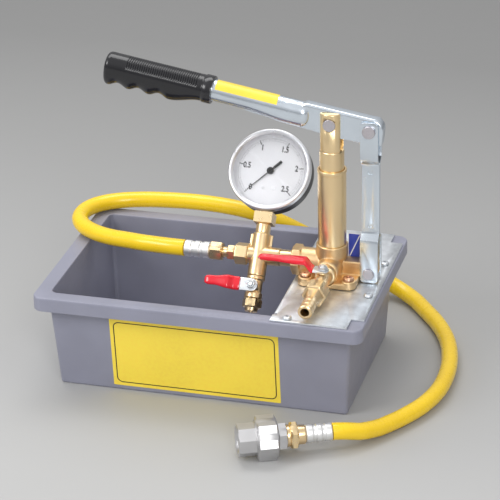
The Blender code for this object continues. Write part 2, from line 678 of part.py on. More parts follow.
def make_deck_plate():
    """The plate is skinned by hand so that its left edge runs on into the bent flange."""
    half = DECK_WIDTH / 2
    tab = DECK_TAB_WIDTH / 2
    flange_half = RIM_WIDTH / 2 - RIM_LAND - DECK_FLANGE_GAP
    relief_end = flange_half + DECK_RELIEF_WIDTH
    relief_x = DECK_LEFT + DECK_RELIEF_DEPTH
    bend_outer = DECK_BEND + DECK_SHEET
    bend_x = DECK_LEFT + bend_outer
    notch_x = DECK_RIGHT - DECK_NOTCH
    outline = [
        (bend_x, flange_half), (bend_x, -flange_half), (relief_x, -flange_half),
        (relief_x, -relief_end), (DECK_LEFT, -relief_end), (DECK_LEFT, -half), (notch_x, -half),
        (notch_x, -tab), (DECK_RIGHT, -tab), (DECK_RIGHT, tab), (notch_x, tab), (notch_x, half),
        (DECK_LEFT, half), (DECK_LEFT, relief_end), (relief_x, relief_end),
        (relief_x, flange_half),
    ]
    mesh = bmesh.new()
    top = [mesh.verts.new((x, y, DECK_TOP)) for x, y in outline]
    bottom = [mesh.verts.new((x, y, DECK_BOTTOM)) for x, y in outline]
    mesh.faces.new(top)
    mesh.faces.new(bottom)
    for index in range(1, len(outline)):
        after = (index + 1) % len(outline)
        mesh.faces.new((top[index], top[after], bottom[after], bottom[index]))
    rows = [(top[0], top[1], bottom[1], bottom[0])]
    bend_steps = 4
    axis_z = DECK_BOTTOM - DECK_BEND
    stations = []
    for step in range(1, bend_steps + 1):
        angle = pi / 2 * step / bend_steps
        stations.append((bend_x - bend_outer * sin(angle), axis_z + bend_outer * cos(angle),
                         bend_x - DECK_BEND * sin(angle), axis_z + DECK_BEND * cos(angle)))
    foot_z = axis_z - DECK_FLANGE_DROP
    stations.append((DECK_LEFT, foot_z, DECK_LEFT + DECK_SHEET, foot_z))
    for outer_x, outer_z, inner_x, inner_z in stations:
        rows.append((mesh.verts.new((outer_x, flange_half, outer_z)),
                     mesh.verts.new((outer_x, -flange_half, outer_z)),
                     mesh.verts.new((inner_x, -flange_half, inner_z)),
                     mesh.verts.new((inner_x, flange_half, inner_z))))
    for row, following in zip(rows, rows[1:]):
        for index in range(4):
            after = (index + 1) % 4
            mesh.faces.new((row[index], row[after], following[after], following[index]))
    mesh.faces.new(rows[-1])
    plate = mesh_object("deck_plate", mesh, ZINC)
    nut_embed = DECK_SHEET / 2
    for number, (x, y) in enumerate(foot_bolt_places(), 1):
        nut = turned(f"weld_nut_{number}",
                     ((WELD_NUT_FLATS, DECK_BOTTOM - WELD_NUT_HEIGHT, 6),
                      (WELD_NUT_FLATS, DECK_BOTTOM + nut_embed, 6)), ZINC, count=6, at=(x, y, 0))
        add(plate, nut)
        cut(plate, rod(f"bolt_hole_{number}", BOLT_SHANK + 2 * SEAT_GAP,
                       DECK_BOTTOM - WELD_NUT_HEIGHT - OVERRUN, DECK_TOP + OVERRUN, at=(x, y, 0)))
    for number, (x, y) in enumerate(deck_screw_places(), 1):
        cut(plate, rod(f"screw_hole_{number}", SCREW_SHANK + 2 * SEAT_GAP,
                       DECK_BOTTOM - OVERRUN, DECK_TOP + OVERRUN, at=(x, y, 0)))
    cut(plate, rod("pipe_hole", DECK_PIPE_HOLE, DECK_BOTTOM - OVERRUN, DECK_TOP + OVERRUN,
                   at=(PUMP_X, 0, 0)))


def pan_head_fastener(name, shank, length, head, head_height, look, **placing):
    """Head above local Z = 0, shank below it, with a domed top and a driver recess."""
    profile = ((shank, -length), (shank, 0), (head, 0), (head, head_height * HEAD_SIDE_SHARE),
               (head * HEAD_FLAT_SHARE, head_height))
    fastener = turned(name, profile, look, count=10, **placing)
    cut(fastener, cross_recess(name + "_recess", head, head_height, **placing))


def make_fasteners():
    for number, (x, y) in enumerate(deck_screw_places(), 1):
        pan_head_fastener(f"deck_screw_{number}", SCREW_SHANK, SCREW_LENGTH, SCREW_HEAD,
                          SCREW_HEAD_HEIGHT, ZINC, at=(x, y, DECK_TOP + SEAT_GAP))
    boss_top = FOOT_BOTTOM + BOSS_HEIGHT
    reach = boss_top + SEAT_GAP - DECK_BOTTOM + WELD_NUT_HEIGHT
    for number, (x, y) in enumerate(foot_bolt_places(), 1):
        pan_head_fastener(f"foot_bolt_{number}", BOLT_SHANK, reach, BOLT_HEAD,
                          BOLT_HEAD_HEIGHT, COPPER, at=(x, y, boss_top + SEAT_GAP))


def make_pump_body():
    """Foot, bosses, column, arm, front port and lug, united and then bored through."""
    foot_length = 2 * BOLT_HALF_X + BOSS_DIAMETER
    foot_width = 2 * BOLT_HALF_Y + BOSS_DIAMETER
    foot_top = FOOT_BOTTOM + FOOT_THICKNESS
    corner = BOSS_DIAMETER / 2
    slope = RIM_EDGE
    foot = loft([rounded_rectangle(foot_length, foot_width, corner, FOOT_BOTTOM, 3),
                 rounded_rectangle(foot_length, foot_width, corner, foot_top - slope, 3),
                 rounded_rectangle(foot_length - slope, foot_width - slope, corner, foot_top, 3)])
    body = mesh_object("pump_body", foot, BRASS, at=(PUMP_X, 0, 0))
    boss_low = foot_top - 2 * slope
    for number, (x, y) in enumerate(foot_bolt_places(), 1):
        boss_top = FOOT_BOTTOM + BOSS_HEIGHT
        boss = turned(f"boss_{number}", (
            (BOSS_DIAMETER - slope / 2, boss_low), (BOSS_DIAMETER - slope / 2, boss_top - slope / 2),
            (BOSS_DIAMETER - 2 * slope, boss_top)), BRASS, count=14, at=(x, y, 0))
        add(body, boss)
    column = (
        (WAIST_DIAMETER + 2 * slope, foot_top - 2 * slope), (WAIST_DIAMETER, foot_top + slope),
        (WAIST_DIAMETER, WAIST_TOP), (SOCKET_DIAMETER, SOCKET_START),
        (SOCKET_DIAMETER, SOCKET_TOP - SOCKET_EDGE),
        (SOCKET_DIAMETER - 2 * SOCKET_EDGE, SOCKET_TOP))
    add(body, turned("column", column, BRASS, count=24, at=(PUMP_X, 0, 0)))
    arm_place = {"at": (PUMP_X, 0, PORT_Z), "turn": (0, -pi / 2, 0)}
    arm = (
        (ARM_DIAMETER - slope, 0), (ARM_DIAMETER - slope, ARM_HEX_START),
        (ARM_HEX_FLATS, ARM_HEX_START + ARM_CHAMFER, 6),
        (ARM_HEX_FLATS, ARM_LENGTH - ARM_CHAMFER, 6), (ARM_HEX_FLATS - ARM_CHAMFER, ARM_LENGTH))
    add(body, turned("arm", arm, BRASS, count=18, twist=pi / 6, **arm_place))
    port_place = {"at": (PUMP_X, 0, PORT_Z), "turn": (pi / 2, 0, 0)}
    port = ((FRONT_PORT_DIAMETER, 0), (FRONT_PORT_DIAMETER, FRONT_PORT_LENGTH - FRONT_PORT_EDGE),
            (FRONT_PORT_DIAMETER - 2 * FRONT_PORT_EDGE, FRONT_PORT_LENGTH))
    add(body, turned("front_port", port, BRASS, **port_place))
    lug_steps = 6
    lug = [(0, LUG_TOP - LINK_PIN_Z), (0, foot_top - slope - LINK_PIN_Z)]
    lug_x = LINK_X - PUMP_X
    for step in range(lug_steps + 1):
        angle = -pi / 2 + pi * step / lug_steps
        lug.append((lug_x + LUG_END_RADIUS * cos(angle), LUG_END_RADIUS * sin(angle)))
    lug.append((lug_x - LUG_END_RADIUS, LUG_TOP - LINK_PIN_Z))
    add(body, mesh_object("lug", prism(lug, -LUG_THICKNESS / 2, LUG_THICKNESS / 2), BRASS,
                          at=(PUMP_X, 0, LINK_PIN_Z), turn=(pi / 2, 0, 0)))
    socket_floor = SOCKET_TOP - SOCKET_DEPTH
    thread_top = FOOT_BOTTOM + SUCTION_THREAD_DEPTH
    bore = (
        (SUCTION_THREAD + 2 * SEAT_GAP, FOOT_BOTTOM - OVERRUN),
        (SUCTION_THREAD + 2 * SEAT_GAP, thread_top), (SUCTION_SEAT_BORE, thread_top),
        (SUCTION_SEAT_BORE, SUCTION_SEAT_Z), (SUCTION_CAGE, SUCTION_SEAT_Z),
        (SUCTION_CAGE, CHAMBER_BOTTOM), (CHAMBER_DIAMETER, CHAMBER_BOTTOM),
        (CHAMBER_DIAMETER, socket_floor), (BARREL_DIAMETER + 2 * SEAT_GAP, socket_floor),
        (BARREL_DIAMETER + 2 * SEAT_GAP, SOCKET_TOP + OVERRUN))
    cut(body, turned("chamber", bore, BRASS, count=24, at=(PUMP_X, 0, 0)))
    delivery = (
        (DELIVERY_SEAT_BORE, 0), (DELIVERY_SEAT_BORE, ARM_LENGTH - DELIVERY_SEAT_INSET),
        (DELIVERY_CAGE, ARM_LENGTH - DELIVERY_SEAT_INSET),
        (DELIVERY_CAGE, ARM_LENGTH - ARM_THREAD_DEPTH),
        (ARM_THREAD, ARM_LENGTH - ARM_THREAD_DEPTH), (ARM_THREAD, ARM_LENGTH + OVERRUN))
    cut(body, turned("delivery_bore", delivery, BRASS, count=12, **arm_place))
    spigot_bore = VALVE_SPIGOT + 2 * SEAT_GAP
    front = ((FRONT_BORE, 0), (FRONT_BORE, FRONT_PORT_LENGTH - VALVE_SPIGOT_DEPTH),
             (spigot_bore, FRONT_PORT_LENGTH - VALVE_SPIGOT_DEPTH),
             (spigot_bore, FRONT_PORT_LENGTH + OVERRUN))
    cut(body, turned("front_bore", front, BRASS, count=12, **port_place))
    relief = OUTLET_COLLAR + 2 * RIM_EDGE
    cut(body, rod("valve_relief", relief, FRONT_PORT_LENGTH, FRONT_PORT_LENGTH + BOSS_DIAMETER,
                  count=16, **port_place))
    for number, (x, y) in enumerate(foot_bolt_places(), 1):
        cut(body, rod(f"foot_hole_{number}", BOLT_SHANK + 2 * SEAT_GAP, FOOT_BOTTOM - OVERRUN,
                      FOOT_BOTTOM + BOSS_HEIGHT + OVERRUN, at=(x, y, 0)))
    cut(body, rod("lug_hole", PIN_HOLE, -LUG_THICKNESS, LUG_THICKNESS, count=16,
                  at=(LINK_X, 0, LINK_PIN_Z), turn=(pi / 2, 0, 0)))


def seated_ball_height(ball, bore):
    """How far a ball's centre stands above the edge of the bore that it closes."""
    return sqrt((ball / 2 + SEAT_GAP) ** 2 - (bore / 2) ** 2)


def ball_object(name, diameter, look, at, bands=6, count=10, **placing):
    mesh = bmesh.new()
    bmesh.ops.create_uvsphere(mesh, u_segments=count, v_segments=bands, radius=diameter / 2)
    return mesh_object(name, mesh, look, at=at, **placing)


def make_check_valves():
    rise = seated_ball_height(SUCTION_BALL, SUCTION_SEAT_BORE)
    ball_object("suction_ball", SUCTION_BALL, STAINLESS, (PUMP_X, 0, SUCTION_SEAT_Z + rise))
    reach = ARM_LENGTH - DELIVERY_SEAT_INSET + seated_ball_height(DELIVERY_BALL, DELIVERY_SEAT_BORE)
    ball_object("delivery_ball", DELIVERY_BALL, STAINLESS, (PUMP_X - reach, 0, PORT_Z))


def make_suction_side():
    """A pipe screwed into the foot reaches down to a slotted strainer just above the floor."""
    pipe_top = FOOT_BOTTOM + SUCTION_THREAD_DEPTH - SEAT_GAP
    turned("suction_pipe", (
        (SUCTION_THREAD, SUCTION_PIPE_BOTTOM), (SUCTION_THREAD, pipe_top),
        (SUCTION_PIPE_BORE, pipe_top), (SUCTION_PIPE_BORE, SUCTION_PIPE_BOTTOM)),
        MACHINED, count=10, pierced=True, at=(PUMP_X, 0, 0))
    inner = STRAINER_DIAMETER - 2 * STRAINER_WALL
    neck = SUCTION_THREAD + 2 * SEAT_GAP
    strainer = turned("suction_strainer", (
        (inner, STRAINER_BOTTOM + STRAINER_WALL), (inner, STRAINER_TOP - STRAINER_WALL),
        (neck, STRAINER_TOP - STRAINER_WALL), (neck, STRAINER_TOP),
        (STRAINER_DIAMETER, STRAINER_TOP), (STRAINER_DIAMETER, STRAINER_BOTTOM)),
        GREY, at=(PUMP_X, 0, 0))
    slot_low = STRAINER_BOTTOM + STRAINER_SLOT_MARGIN
    slot_high = STRAINER_TOP - STRAINER_SLOT_MARGIN
    half = STRAINER_SLOT_WIDTH / 2
    reach = STRAINER_DIAMETER / 2 + OVERRUN
    outline = ((-reach, -half), (reach, -half), (reach, half), (-reach, half))
    for slot in range(STRAINER_SLOTS):
        cutter = mesh_object(f"strainer_slot_{slot + 1}", prism(outline, slot_low, slot_high), GREY,
                             at=(PUMP_X, 0, 0), turn=(0, 0, pi * slot / STRAINER_SLOTS))
        cut(strainer, cutter)


def make_barrel():
    low = SOCKET_TOP - SOCKET_DEPTH + SEAT_GAP
    collar_low = BARREL_TOP - BARREL_COLLAR_HEIGHT
    turned("barrel", (
        (BARREL_DIAMETER, low), (BARREL_DIAMETER, collar_low),
        (BARREL_COLLAR, collar_low + BARREL_EDGE), (BARREL_COLLAR, BARREL_TOP - BARREL_EDGE),
        (BARREL_COLLAR - 2 * BARREL_EDGE, BARREL_TOP), (BARREL_BORE + BARREL_EDGE, BARREL_TOP),
        (BARREL_BORE, BARREL_TOP - BARREL_EDGE), (BARREL_BORE, low)),
        MACHINED, count=24, pierced=True, at=(PUMP_X, 0, 0))


def make_plunger():
    """Solid brass ram: seal grooves below, an open fork and a cross hole for its pin above."""
    top = PLUNGER_ABOVE_PIN
    slot_floor = -PLUNGER_SLOT_BELOW_PIN
    bottom = PLUNGER_BOTTOM - PLUNGER_PIN_Z
    groove = PLUNGER_DIAMETER - 2 * PLUNGER_GROOVE_DEPTH
    rows = [(PLUNGER_DIAMETER - 2 * PLUNGER_EDGE, bottom), (PLUNGER_DIAMETER, bottom + PLUNGER_EDGE)]
    for seal in range(2):
        low = bottom + SEAL_FIRST + seal * SEAL_SPACING
        rows += [(PLUNGER_DIAMETER, low), (SEAL_ROOT, low), (SEAL_ROOT, low + SEAL_WIDTH),
                 (PLUNGER_DIAMETER, low + SEAL_WIDTH)]
        turned(f"plunger_seal_{seal + 1}", (
            (BARREL_BORE - 2 * SEAT_GAP - RIM_EDGE, low + SEAT_GAP),
            (BARREL_BORE - 2 * SEAT_GAP, low + SEAL_WIDTH / 2),
            (BARREL_BORE - 2 * SEAT_GAP - RIM_EDGE, low + SEAL_WIDTH - SEAT_GAP),
            (SEAL_ROOT + 2 * SEAT_GAP, low + SEAL_WIDTH - SEAT_GAP),
            (SEAL_ROOT + 2 * SEAT_GAP, low + SEAT_GAP)),
            SEAL_RUBBER, pierced=True, at=(PUMP_X, 0, PLUNGER_PIN_Z))
    rows += [(PLUNGER_DIAMETER, slot_floor - PLUNGER_GROOVE_WIDTH / 2), (groove, slot_floor),
             (PLUNGER_DIAMETER, slot_floor + PLUNGER_GROOVE_WIDTH / 2),
             (PLUNGER_DIAMETER, top - PLUNGER_EDGE), (PLUNGER_DIAMETER - 2 * PLUNGER_EDGE, top)]
    plunger = turned("plunger", rows, MACHINED, count=20, at=(PUMP_X, 0, PLUNGER_PIN_Z))
    half = CHANNEL_WIDTH / 2 + PLUNGER_SLOT_GAP
    reach = PLUNGER_DIAMETER
    slot = ((-reach, -half), (reach, -half), (reach, half), (-reach, half))
    cut(plunger, mesh_object("fork_slot", prism(slot, slot_floor, top + OVERRUN), BRASS,
                             at=(PUMP_X, 0, PLUNGER_PIN_Z)))
    across = {"at": (PUMP_X, 0, PLUNGER_PIN_Z), "turn": (pi / 2, 0, 0)}
    cut(plunger, rod("plunger_pin_hole", PIN_HOLE, -reach, reach, count=16, **across))
    spot = PLUNGER_PIN_HEAD + 2 * RUN_GAP
    cut(plunger, rod("spot_face_front", spot, SPOT_FACE_HALF, reach, count=16, **across))
    cut(plunger, rod("spot_face_rear", spot, -reach, -SPOT_FACE_HALF, count=16, **across))
    pin("plunger_pin", PLUNGER_PIN_HEAD, SPOT_FACE_HALF, **across)


def pin(name, head, half_grip, **placing):
    """A riveted pin across the pump: its head faces the viewer along local +Z."""
    near = half_grip + SEAT_GAP
    turned(name, (
        (PIN_TAIL_DIAMETER - 2 * PIN_EDGE, -near - PIN_TAIL_HEIGHT), (PIN_TAIL_DIAMETER, -near),
        (PIN_DIAMETER, -near), (PIN_DIAMETER, near), (head, near),
        (head, near + PIN_HEAD_HEIGHT - PIN_EDGE), (head - 2 * PIN_EDGE, near + PIN_HEAD_HEIGHT)),
        ZINC, count=14, **placing)


def link_strap(name, side):
    """One joggled strap, drawn as a strip in local YZ and extruded to its width along X."""
    path = [(LINK_INNER_HALF, -LINK_END), (LINK_INNER_HALF, LINK_LOWER_JOGGLE)]
    drop = LINK_INNER_HALF - LINK_WAIST_HALF
    path += [(LINK_INNER_HALF - drop * ease, LINK_LOWER_JOGGLE + LINK_JOGGLE_RUN * share)
             for share, ease in JOGGLE_SHARES]
    path += [(LINK_WAIST_HALF, LINK_LOWER_JOGGLE + LINK_JOGGLE_RUN),
             (LINK_WAIST_HALF, LINK_UPPER_JOGGLE - LINK_JOGGLE_RUN)]
    path += [(LINK_WAIST_HALF + drop * ease, LINK_UPPER_JOGGLE - LINK_JOGGLE_RUN * (1 - share))
             for share, ease in JOGGLE_SHARES]
    path += [(LINK_INNER_HALF, LINK_UPPER_JOGGLE), (LINK_INNER_HALF, LINK_LENGTH + LINK_END)]
    steepest = (LINK_JOGGLE_RUN / 2) / drop
    lean = LINK_SHEET * (sqrt(1 + steepest * steepest) - steepest) / 2
    outer = [(y + LINK_SHEET, z) for y, z in path]
    for index in (2, 3, 4, 5):
        outer[index] = (outer[index][0], outer[index][1] + lean)
    for index in (6, 7, 8, 9):
        outer[index] = (outer[index][0], outer[index][1] - lean)
    half = LINK_WIDTH / 2
    rings = []
    for (inner_y, inner_z), (outer_y, outer_z) in zip(path, outer):
        rings.append(((-half, side * inner_y, inner_z), (half, side * inner_y, inner_z),
                      (half, side * outer_y, outer_z), (-half, side * outer_y, outer_z)))
    mesh = loft(rings)
    low, high = -LINK_END, LINK_LENGTH + LINK_END
    mesh.edges.ensure_lookup_table()
    corners = [edge for edge in mesh.edges
               if all(abs(abs(vert.co.x) - half) < SEAT_GAP for vert in edge.verts)
               and abs(edge.verts[0].co.z - edge.verts[1].co.z) < SEAT_GAP
               and min(abs(edge.verts[0].co.z - low), abs(edge.verts[0].co.z - high)) < SEAT_GAP
               and abs(edge.verts[0].co.x - edge.verts[1].co.x) < SEAT_GAP]
    bmesh.ops.bevel(mesh, geom=corners, offset=LINK_CORNER, segments=3, affect="EDGES", profile=0.5)
    strap = mesh_object(name, mesh, LEVER_STEEL, at=(LINK_X, 0, LINK_PIN_Z))
    reach = LINK_INNER_HALF + LINK_SHEET + OVERRUN
    for label, height in (("lower", 0), ("upper", LINK_LENGTH)):
        cut(strap, rod(f"{name}_{label}_hole", PIN_HOLE, -reach, reach, count=16,
                       at=(LINK_X, 0, LINK_PIN_Z + height), turn=(pi / 2, 0, 0)))
    dimple_floor = LINK_WAIST_HALF + LINK_SHEET - WELD_DIMPLE_DEPTH
    for label, height in (("lower", LINK_LOWER_JOGGLE + WELD_DIMPLE_INSET),
                          ("upper", LINK_UPPER_JOGGLE - WELD_DIMPLE_INSET)):
        cut(strap, rod(f"{name}_{label}_dimple", WELD_DIMPLE, dimple_floor, reach, count=12,
                       at=(LINK_X, 0, LINK_PIN_Z + height), turn=(-side * pi / 2, 0, 0)))


def make_link():
    link_strap("link_front_strap", -1)
    link_strap("link_rear_strap", 1)
    half_grip = LINK_INNER_HALF + LINK_SHEET
    pin("link_pin", LINK_PIN_HEAD, half_grip, at=(LINK_X, 0, LINK_PIN_Z), turn=(pi / 2, 0, 0))
    pin("fulcrum_pin", FULCRUM_PIN_HEAD, half_grip, at=(LINK_X, 0, FULCRUM_Z),
        turn=(pi / 2, 0, 0))


def tube_rise(along):
    """Height of the lever tube's axis over the line through the fulcrum and the plunger pin."""
    return TUBE_START_RISE + (along - TUBE_START) * tan(TUBE_TILT)


def lever_ring(along, half_width, top, bottom, round_top, round_bottom, steps=3):
    """A section across the lever in local YZ, rounded by one radius above and one below."""
    points = []
    for quarter, (side_y, edge, radius) in enumerate((
            (1, top, round_top), (-1, top, round_top), (-1, bottom, round_bottom),
            (1, bottom, round_bottom))):
        up = 1 if quarter < 2 else -1
        centre_y = side_y * (half_width - radius)
        centre_z = edge - up * radius
        for step in range(steps + 1):
            angle = pi / 2 * (quarter + step / steps)
            points.append((along, centre_y + radius * cos(angle), centre_z + radius * sin(angle)))
    return points


def lever_sections(shrink, through):
    """Sections of the pressed tube, shrunk by a wall, or run out through the open bottom."""
    radius = TUBE_DIAMETER / 2 - shrink
    nearly_share = 0.97
    half = CHANNEL_WIDTH / 2 - shrink
    top = CHANNEL_TOP - shrink
    deep = CHANNEL_DEPTH + (OVERRUN if through else 0)
    rings = []
    end = TUBE_END + (OVERRUN if through else 0)
    for along in (end, SLIT_START, TUBE_START):
        rise = tube_rise(along)
        rings.append(lever_ring(along, radius, rise + radius, rise - radius,
                                radius * nearly_share, radius * nearly_share))
    for share, corner_share in PRESS_SHARES:
        along = TUBE_START + (PRESS_START - TUBE_START) * share
        rise = tube_rise(along)
        ease = share * share * (3 - 2 * share)
        width = radius + (half - radius) * ease
        upper = rise + radius + (top - rise - radius) * ease
        lower = rise - radius - (rise - radius + (deep if through else PRESS_BOTTOM)) * ease
        rings.append(lever_ring(along, width, upper, lower, width * corner_share,
                                width * corner_share))
    round_top = min(CHANNEL_ROUND, half * nearly_share)
    round_bottom = FLANGE_ROUND
    for run_share, depth_share in FLANGE_SHARES:
        along = PRESS_START + (FLANGE_FULL_DEPTH - PRESS_START) * run_share
        depth = PRESS_BOTTOM + (CHANNEL_DEPTH - PRESS_BOTTOM) * depth_share
        lower = deep if through else depth
        rings.append(lever_ring(along, half, top, -lower, round_top, round_bottom))
    nose = CHANNEL_NOSE - shrink
    nose_round = NOSE_ROUND - shrink
    nose_steps = 4
    for step in range(nose_steps + 1):
        angle = pi / 2 * step / nose_steps * nearly_share
        along = -(nose - nose_round) - nose_round * sin(angle)
        crown = top - nose_round * (1 - cos(angle))
        rings.append(lever_ring(along, half, crown, -deep if through else -CHANNEL_DEPTH,
                                round_top, round_bottom))
    return rings


def make_lever():
    """One steel tube: round at the grip, split below, pressed to a channel at its head."""
    frame = frame_empty("lever_frame", (LINK_X, 0, FULCRUM_Z), (0, -LEVER_ANGLE, pi))
    lever = mesh_object("lever_arm", loft(lever_sections(0, False)), LEVER_STEEL, parent=frame)
    cut(lever, mesh_object("lever_hollow", loft(lever_sections(TUBE_WALL, True)), LEVER_STEEL,
                           parent=frame))
    slit = []
    for along, width in ((SLIT_START, SLIT_WIDTH), (TUBE_START - OVERRUN, SLIT_OPEN_WIDTH)):
        rise = tube_rise(along)
        low = rise - TUBE_DIAMETER / 2 - OVERRUN
        slit.append(((along, -width / 2, low), (along, width / 2, low),
                     (along, width / 2, rise), (along, -width / 2, rise)))
    cut(lever, mesh_object("lever_slit", loft(slit), LEVER_STEEL, parent=frame))
    across = (pi / 2, 0, 0)
    reach = CHANNEL_WIDTH
    cut(lever, rod("fulcrum_hole", PIN_HOLE, -reach, reach, count=16, parent=frame, turn=across))
    near = PLUNGER_PIN_REACH - PIN_SLOT_PLAY / 2
    far = PLUNGER_PIN_REACH + PIN_SLOT_TRAVEL
    half = PIN_DIAMETER / 2 + PIN_SLOT_PLAY
    steps = 6
    outline = [(far + half * cos(angle), half * sin(angle))
               for angle in (-pi / 2 + pi * step / steps for step in range(steps + 1))]
    outline += [(near - half * cos(angle), -half * sin(angle))
                for angle in (-pi / 2 + pi * step / steps for step in range(steps + 1))]
    cut(lever, mesh_object("plunger_pin_slot", prism(outline, -reach, reach), LEVER_STEEL,
                           parent=frame, turn=across))
    make_grip(frame)


def grip_ring(along, half_width, top, bottom, count=16):
    """A section square to the tube's axis, with its own reach to the sides, up and down."""
    base_x = GRIP_START + along * cos(TUBE_TILT)
    base_z = tube_rise(GRIP_START) + along * sin(TUBE_TILT)
    points = []
    for step in range(count):
        angle = 2 * pi * step / count
        height = cos(angle) * (top if cos(angle) > 0 else bottom)
        points.append((base_x - height * sin(TUBE_TILT), half_width * sin(angle),
                       base_z + height * cos(TUBE_TILT)))
    return points


def make_grip(frame):
    """A moulded sleeve with a collar, finger waves underneath and a closed, rounded end."""
    ring_top = GRIP_TOP + GRIP_RING
    ring_side = GRIP_HALF_WIDTH + GRIP_RING
    edge = GRIP_RING
    rows = [(0, ring_side - edge, ring_top - edge, GRIP_RING_BOTTOM - edge),
            (edge, ring_side, ring_top, GRIP_RING_BOTTOM),
            (GRIP_RING_WIDTH - edge, ring_side, ring_top, GRIP_RING_BOTTOM),
            (GRIP_RING_WIDTH, GRIP_HALF_WIDTH, GRIP_TOP, GRIP_RING_BOTTOM - edge)]
    steps = 4 * GRIP_FINGERS
    start = GRIP_FIRST_FINGER
    half_wave = GRIP_FINGER_DEPTH / 2
    rise_start = (GRIP_RING_WIDTH + start) / 2
    rows.append((rise_start, GRIP_HALF_WIDTH, GRIP_TOP,
                 (GRIP_RING_BOTTOM + GRIP_FINGER_BOTTOM - half_wave) / 2))
    for step in range(steps + 1):
        along = start + GRIP_FINGER_PITCH * GRIP_FINGERS * step / steps
        wave = half_wave * (1 - cos(2 * pi * GRIP_FINGERS * step / steps))
        rows.append((along, GRIP_HALF_WIDTH, GRIP_TOP, GRIP_FINGER_BOTTOM - wave))
    crest = GRIP_LENGTH - GRIP_END_ROUND
    rows.append((crest + GRIP_END_ROUND / 2, GRIP_HALF_WIDTH, GRIP_TOP - edge / 2,
                 GRIP_FINGER_BOTTOM - edge))
    rows.append((GRIP_LENGTH, GRIP_HALF_WIDTH - GRIP_END_ROUND / 2, GRIP_TOP - GRIP_END_ROUND / 2,
                 GRIP_FINGER_BOTTOM - GRIP_END_ROUND))
    grip = mesh_object("grip", loft([grip_ring(*row) for row in rows]), BLACK, smooth=radians(45),
                       parent=frame)
    sides = 16
    bore = (TUBE_DIAMETER / 2 + SEAT_GAP) / cos(pi / sides)
    bore_rings = [grip_ring(along, bore, bore, bore)
                  for along in (-OVERRUN, GRIP_LENGTH - GRIP_END_WALL)]
    cut(grip, mesh_object("grip_bore", loft(bore_rings), BLACK, parent=frame))


def make_cross():
    """The cross with its leaning stack frame, which the gauge and drain valve share."""
    stack = frame_empty("stack_frame", (CROSS_X, 0, PORT_Z), (-STACK_LEAN, 0, 0))
    edge = CROSS_EDGE
    upright = ((CROSS_ARM - edge, -CROSS_REACH), (CROSS_ARM, -CROSS_REACH + edge),
               (CROSS_ARM, CROSS_REACH - edge), (CROSS_ARM - edge, CROSS_REACH))
    cross = turned("cross_fitting", upright, BRASS, parent=stack)
    right = ((CROSS_ARM, 0), (CROSS_ARM, CROSS_REACH - edge), (CROSS_ARM - edge, CROSS_REACH))
    add(cross, turned("right_arm", right, BRASS, parent=stack, turn=(0, pi / 2, 0)))
    left = ((CROSS_ARM - edge, 0), (CROSS_ARM - edge, CROSS_HEX_START),
            (CROSS_HEX_FLATS, CROSS_HEX_START + edge, 6), (CROSS_HEX_FLATS, CROSS_HEX_END - edge, 6),
            (CROSS_HEX_FLATS - edge, CROSS_HEX_END))
    add(cross, turned("left_arm", left, BRASS, count=18, parent=stack, turn=(0, -pi / 2, 0)))
    rib_x = CROSS_ARM / 2 + CROSS_RIB_OUT
    rib = ((-rib_x, 0), (rib_x, 0), (rib_x, CROSS_REACH - edge), (-rib_x, CROSS_REACH - edge))
    half = CROSS_RIB_THICKNESS / 2
    add(cross, mesh_object("cross_rib", prism(rib, -half, half), BRASS, parent=stack,
                           turn=(pi / 2, 0, 0)))
    for label, turn, low, high in (
            ("upright", (0, 0, 0), -CROSS_REACH, CROSS_REACH),
            ("level", (0, pi / 2, 0), -CROSS_HEX_END, CROSS_REACH)):
        bore = ((CROSS_THREAD, low - OVERRUN), (CROSS_THREAD, low + CROSS_THREAD_DEPTH),
                (CROSS_BORE, low + CROSS_THREAD_DEPTH), (CROSS_BORE, high - CROSS_THREAD_DEPTH),
                (CROSS_THREAD, high - CROSS_THREAD_DEPTH), (CROSS_THREAD, high + OVERRUN))
        cut(cross, turned(f"{label}_bore", bore, BRASS, count=12, parent=stack, turn=turn))
    make_nipple()
    return stack


def cross_spigot(reach):
    """Size and first height of a spigot that enters an arm ending at this reach."""
    return CROSS_THREAD - 2 * SEAT_GAP, reach - CROSS_THREAD_DEPTH + SEAT_GAP


def make_nipple():
    spigot, start = cross_spigot(CROSS_REACH)
    arm_end = PUMP_X - ARM_LENGTH - CROSS_X
    far_spigot = ARM_THREAD - 2 * SEAT_GAP
    turned("delivery_nipple", (
        (spigot, start), (spigot, CROSS_REACH + SEAT_GAP), (NIPPLE_DIAMETER, CROSS_REACH + SEAT_GAP),
        (NIPPLE_DIAMETER, arm_end - SEAT_GAP), (far_spigot, arm_end - SEAT_GAP),
        (far_spigot, arm_end + ARM_THREAD_DEPTH - SEAT_GAP),
        (NIPPLE_BORE, arm_end + ARM_THREAD_DEPTH - SEAT_GAP), (NIPPLE_BORE, start)),
        MACHINED, pierced=True, at=(CROSS_X, 0, PORT_Z), turn=(0, pi / 2, 0))


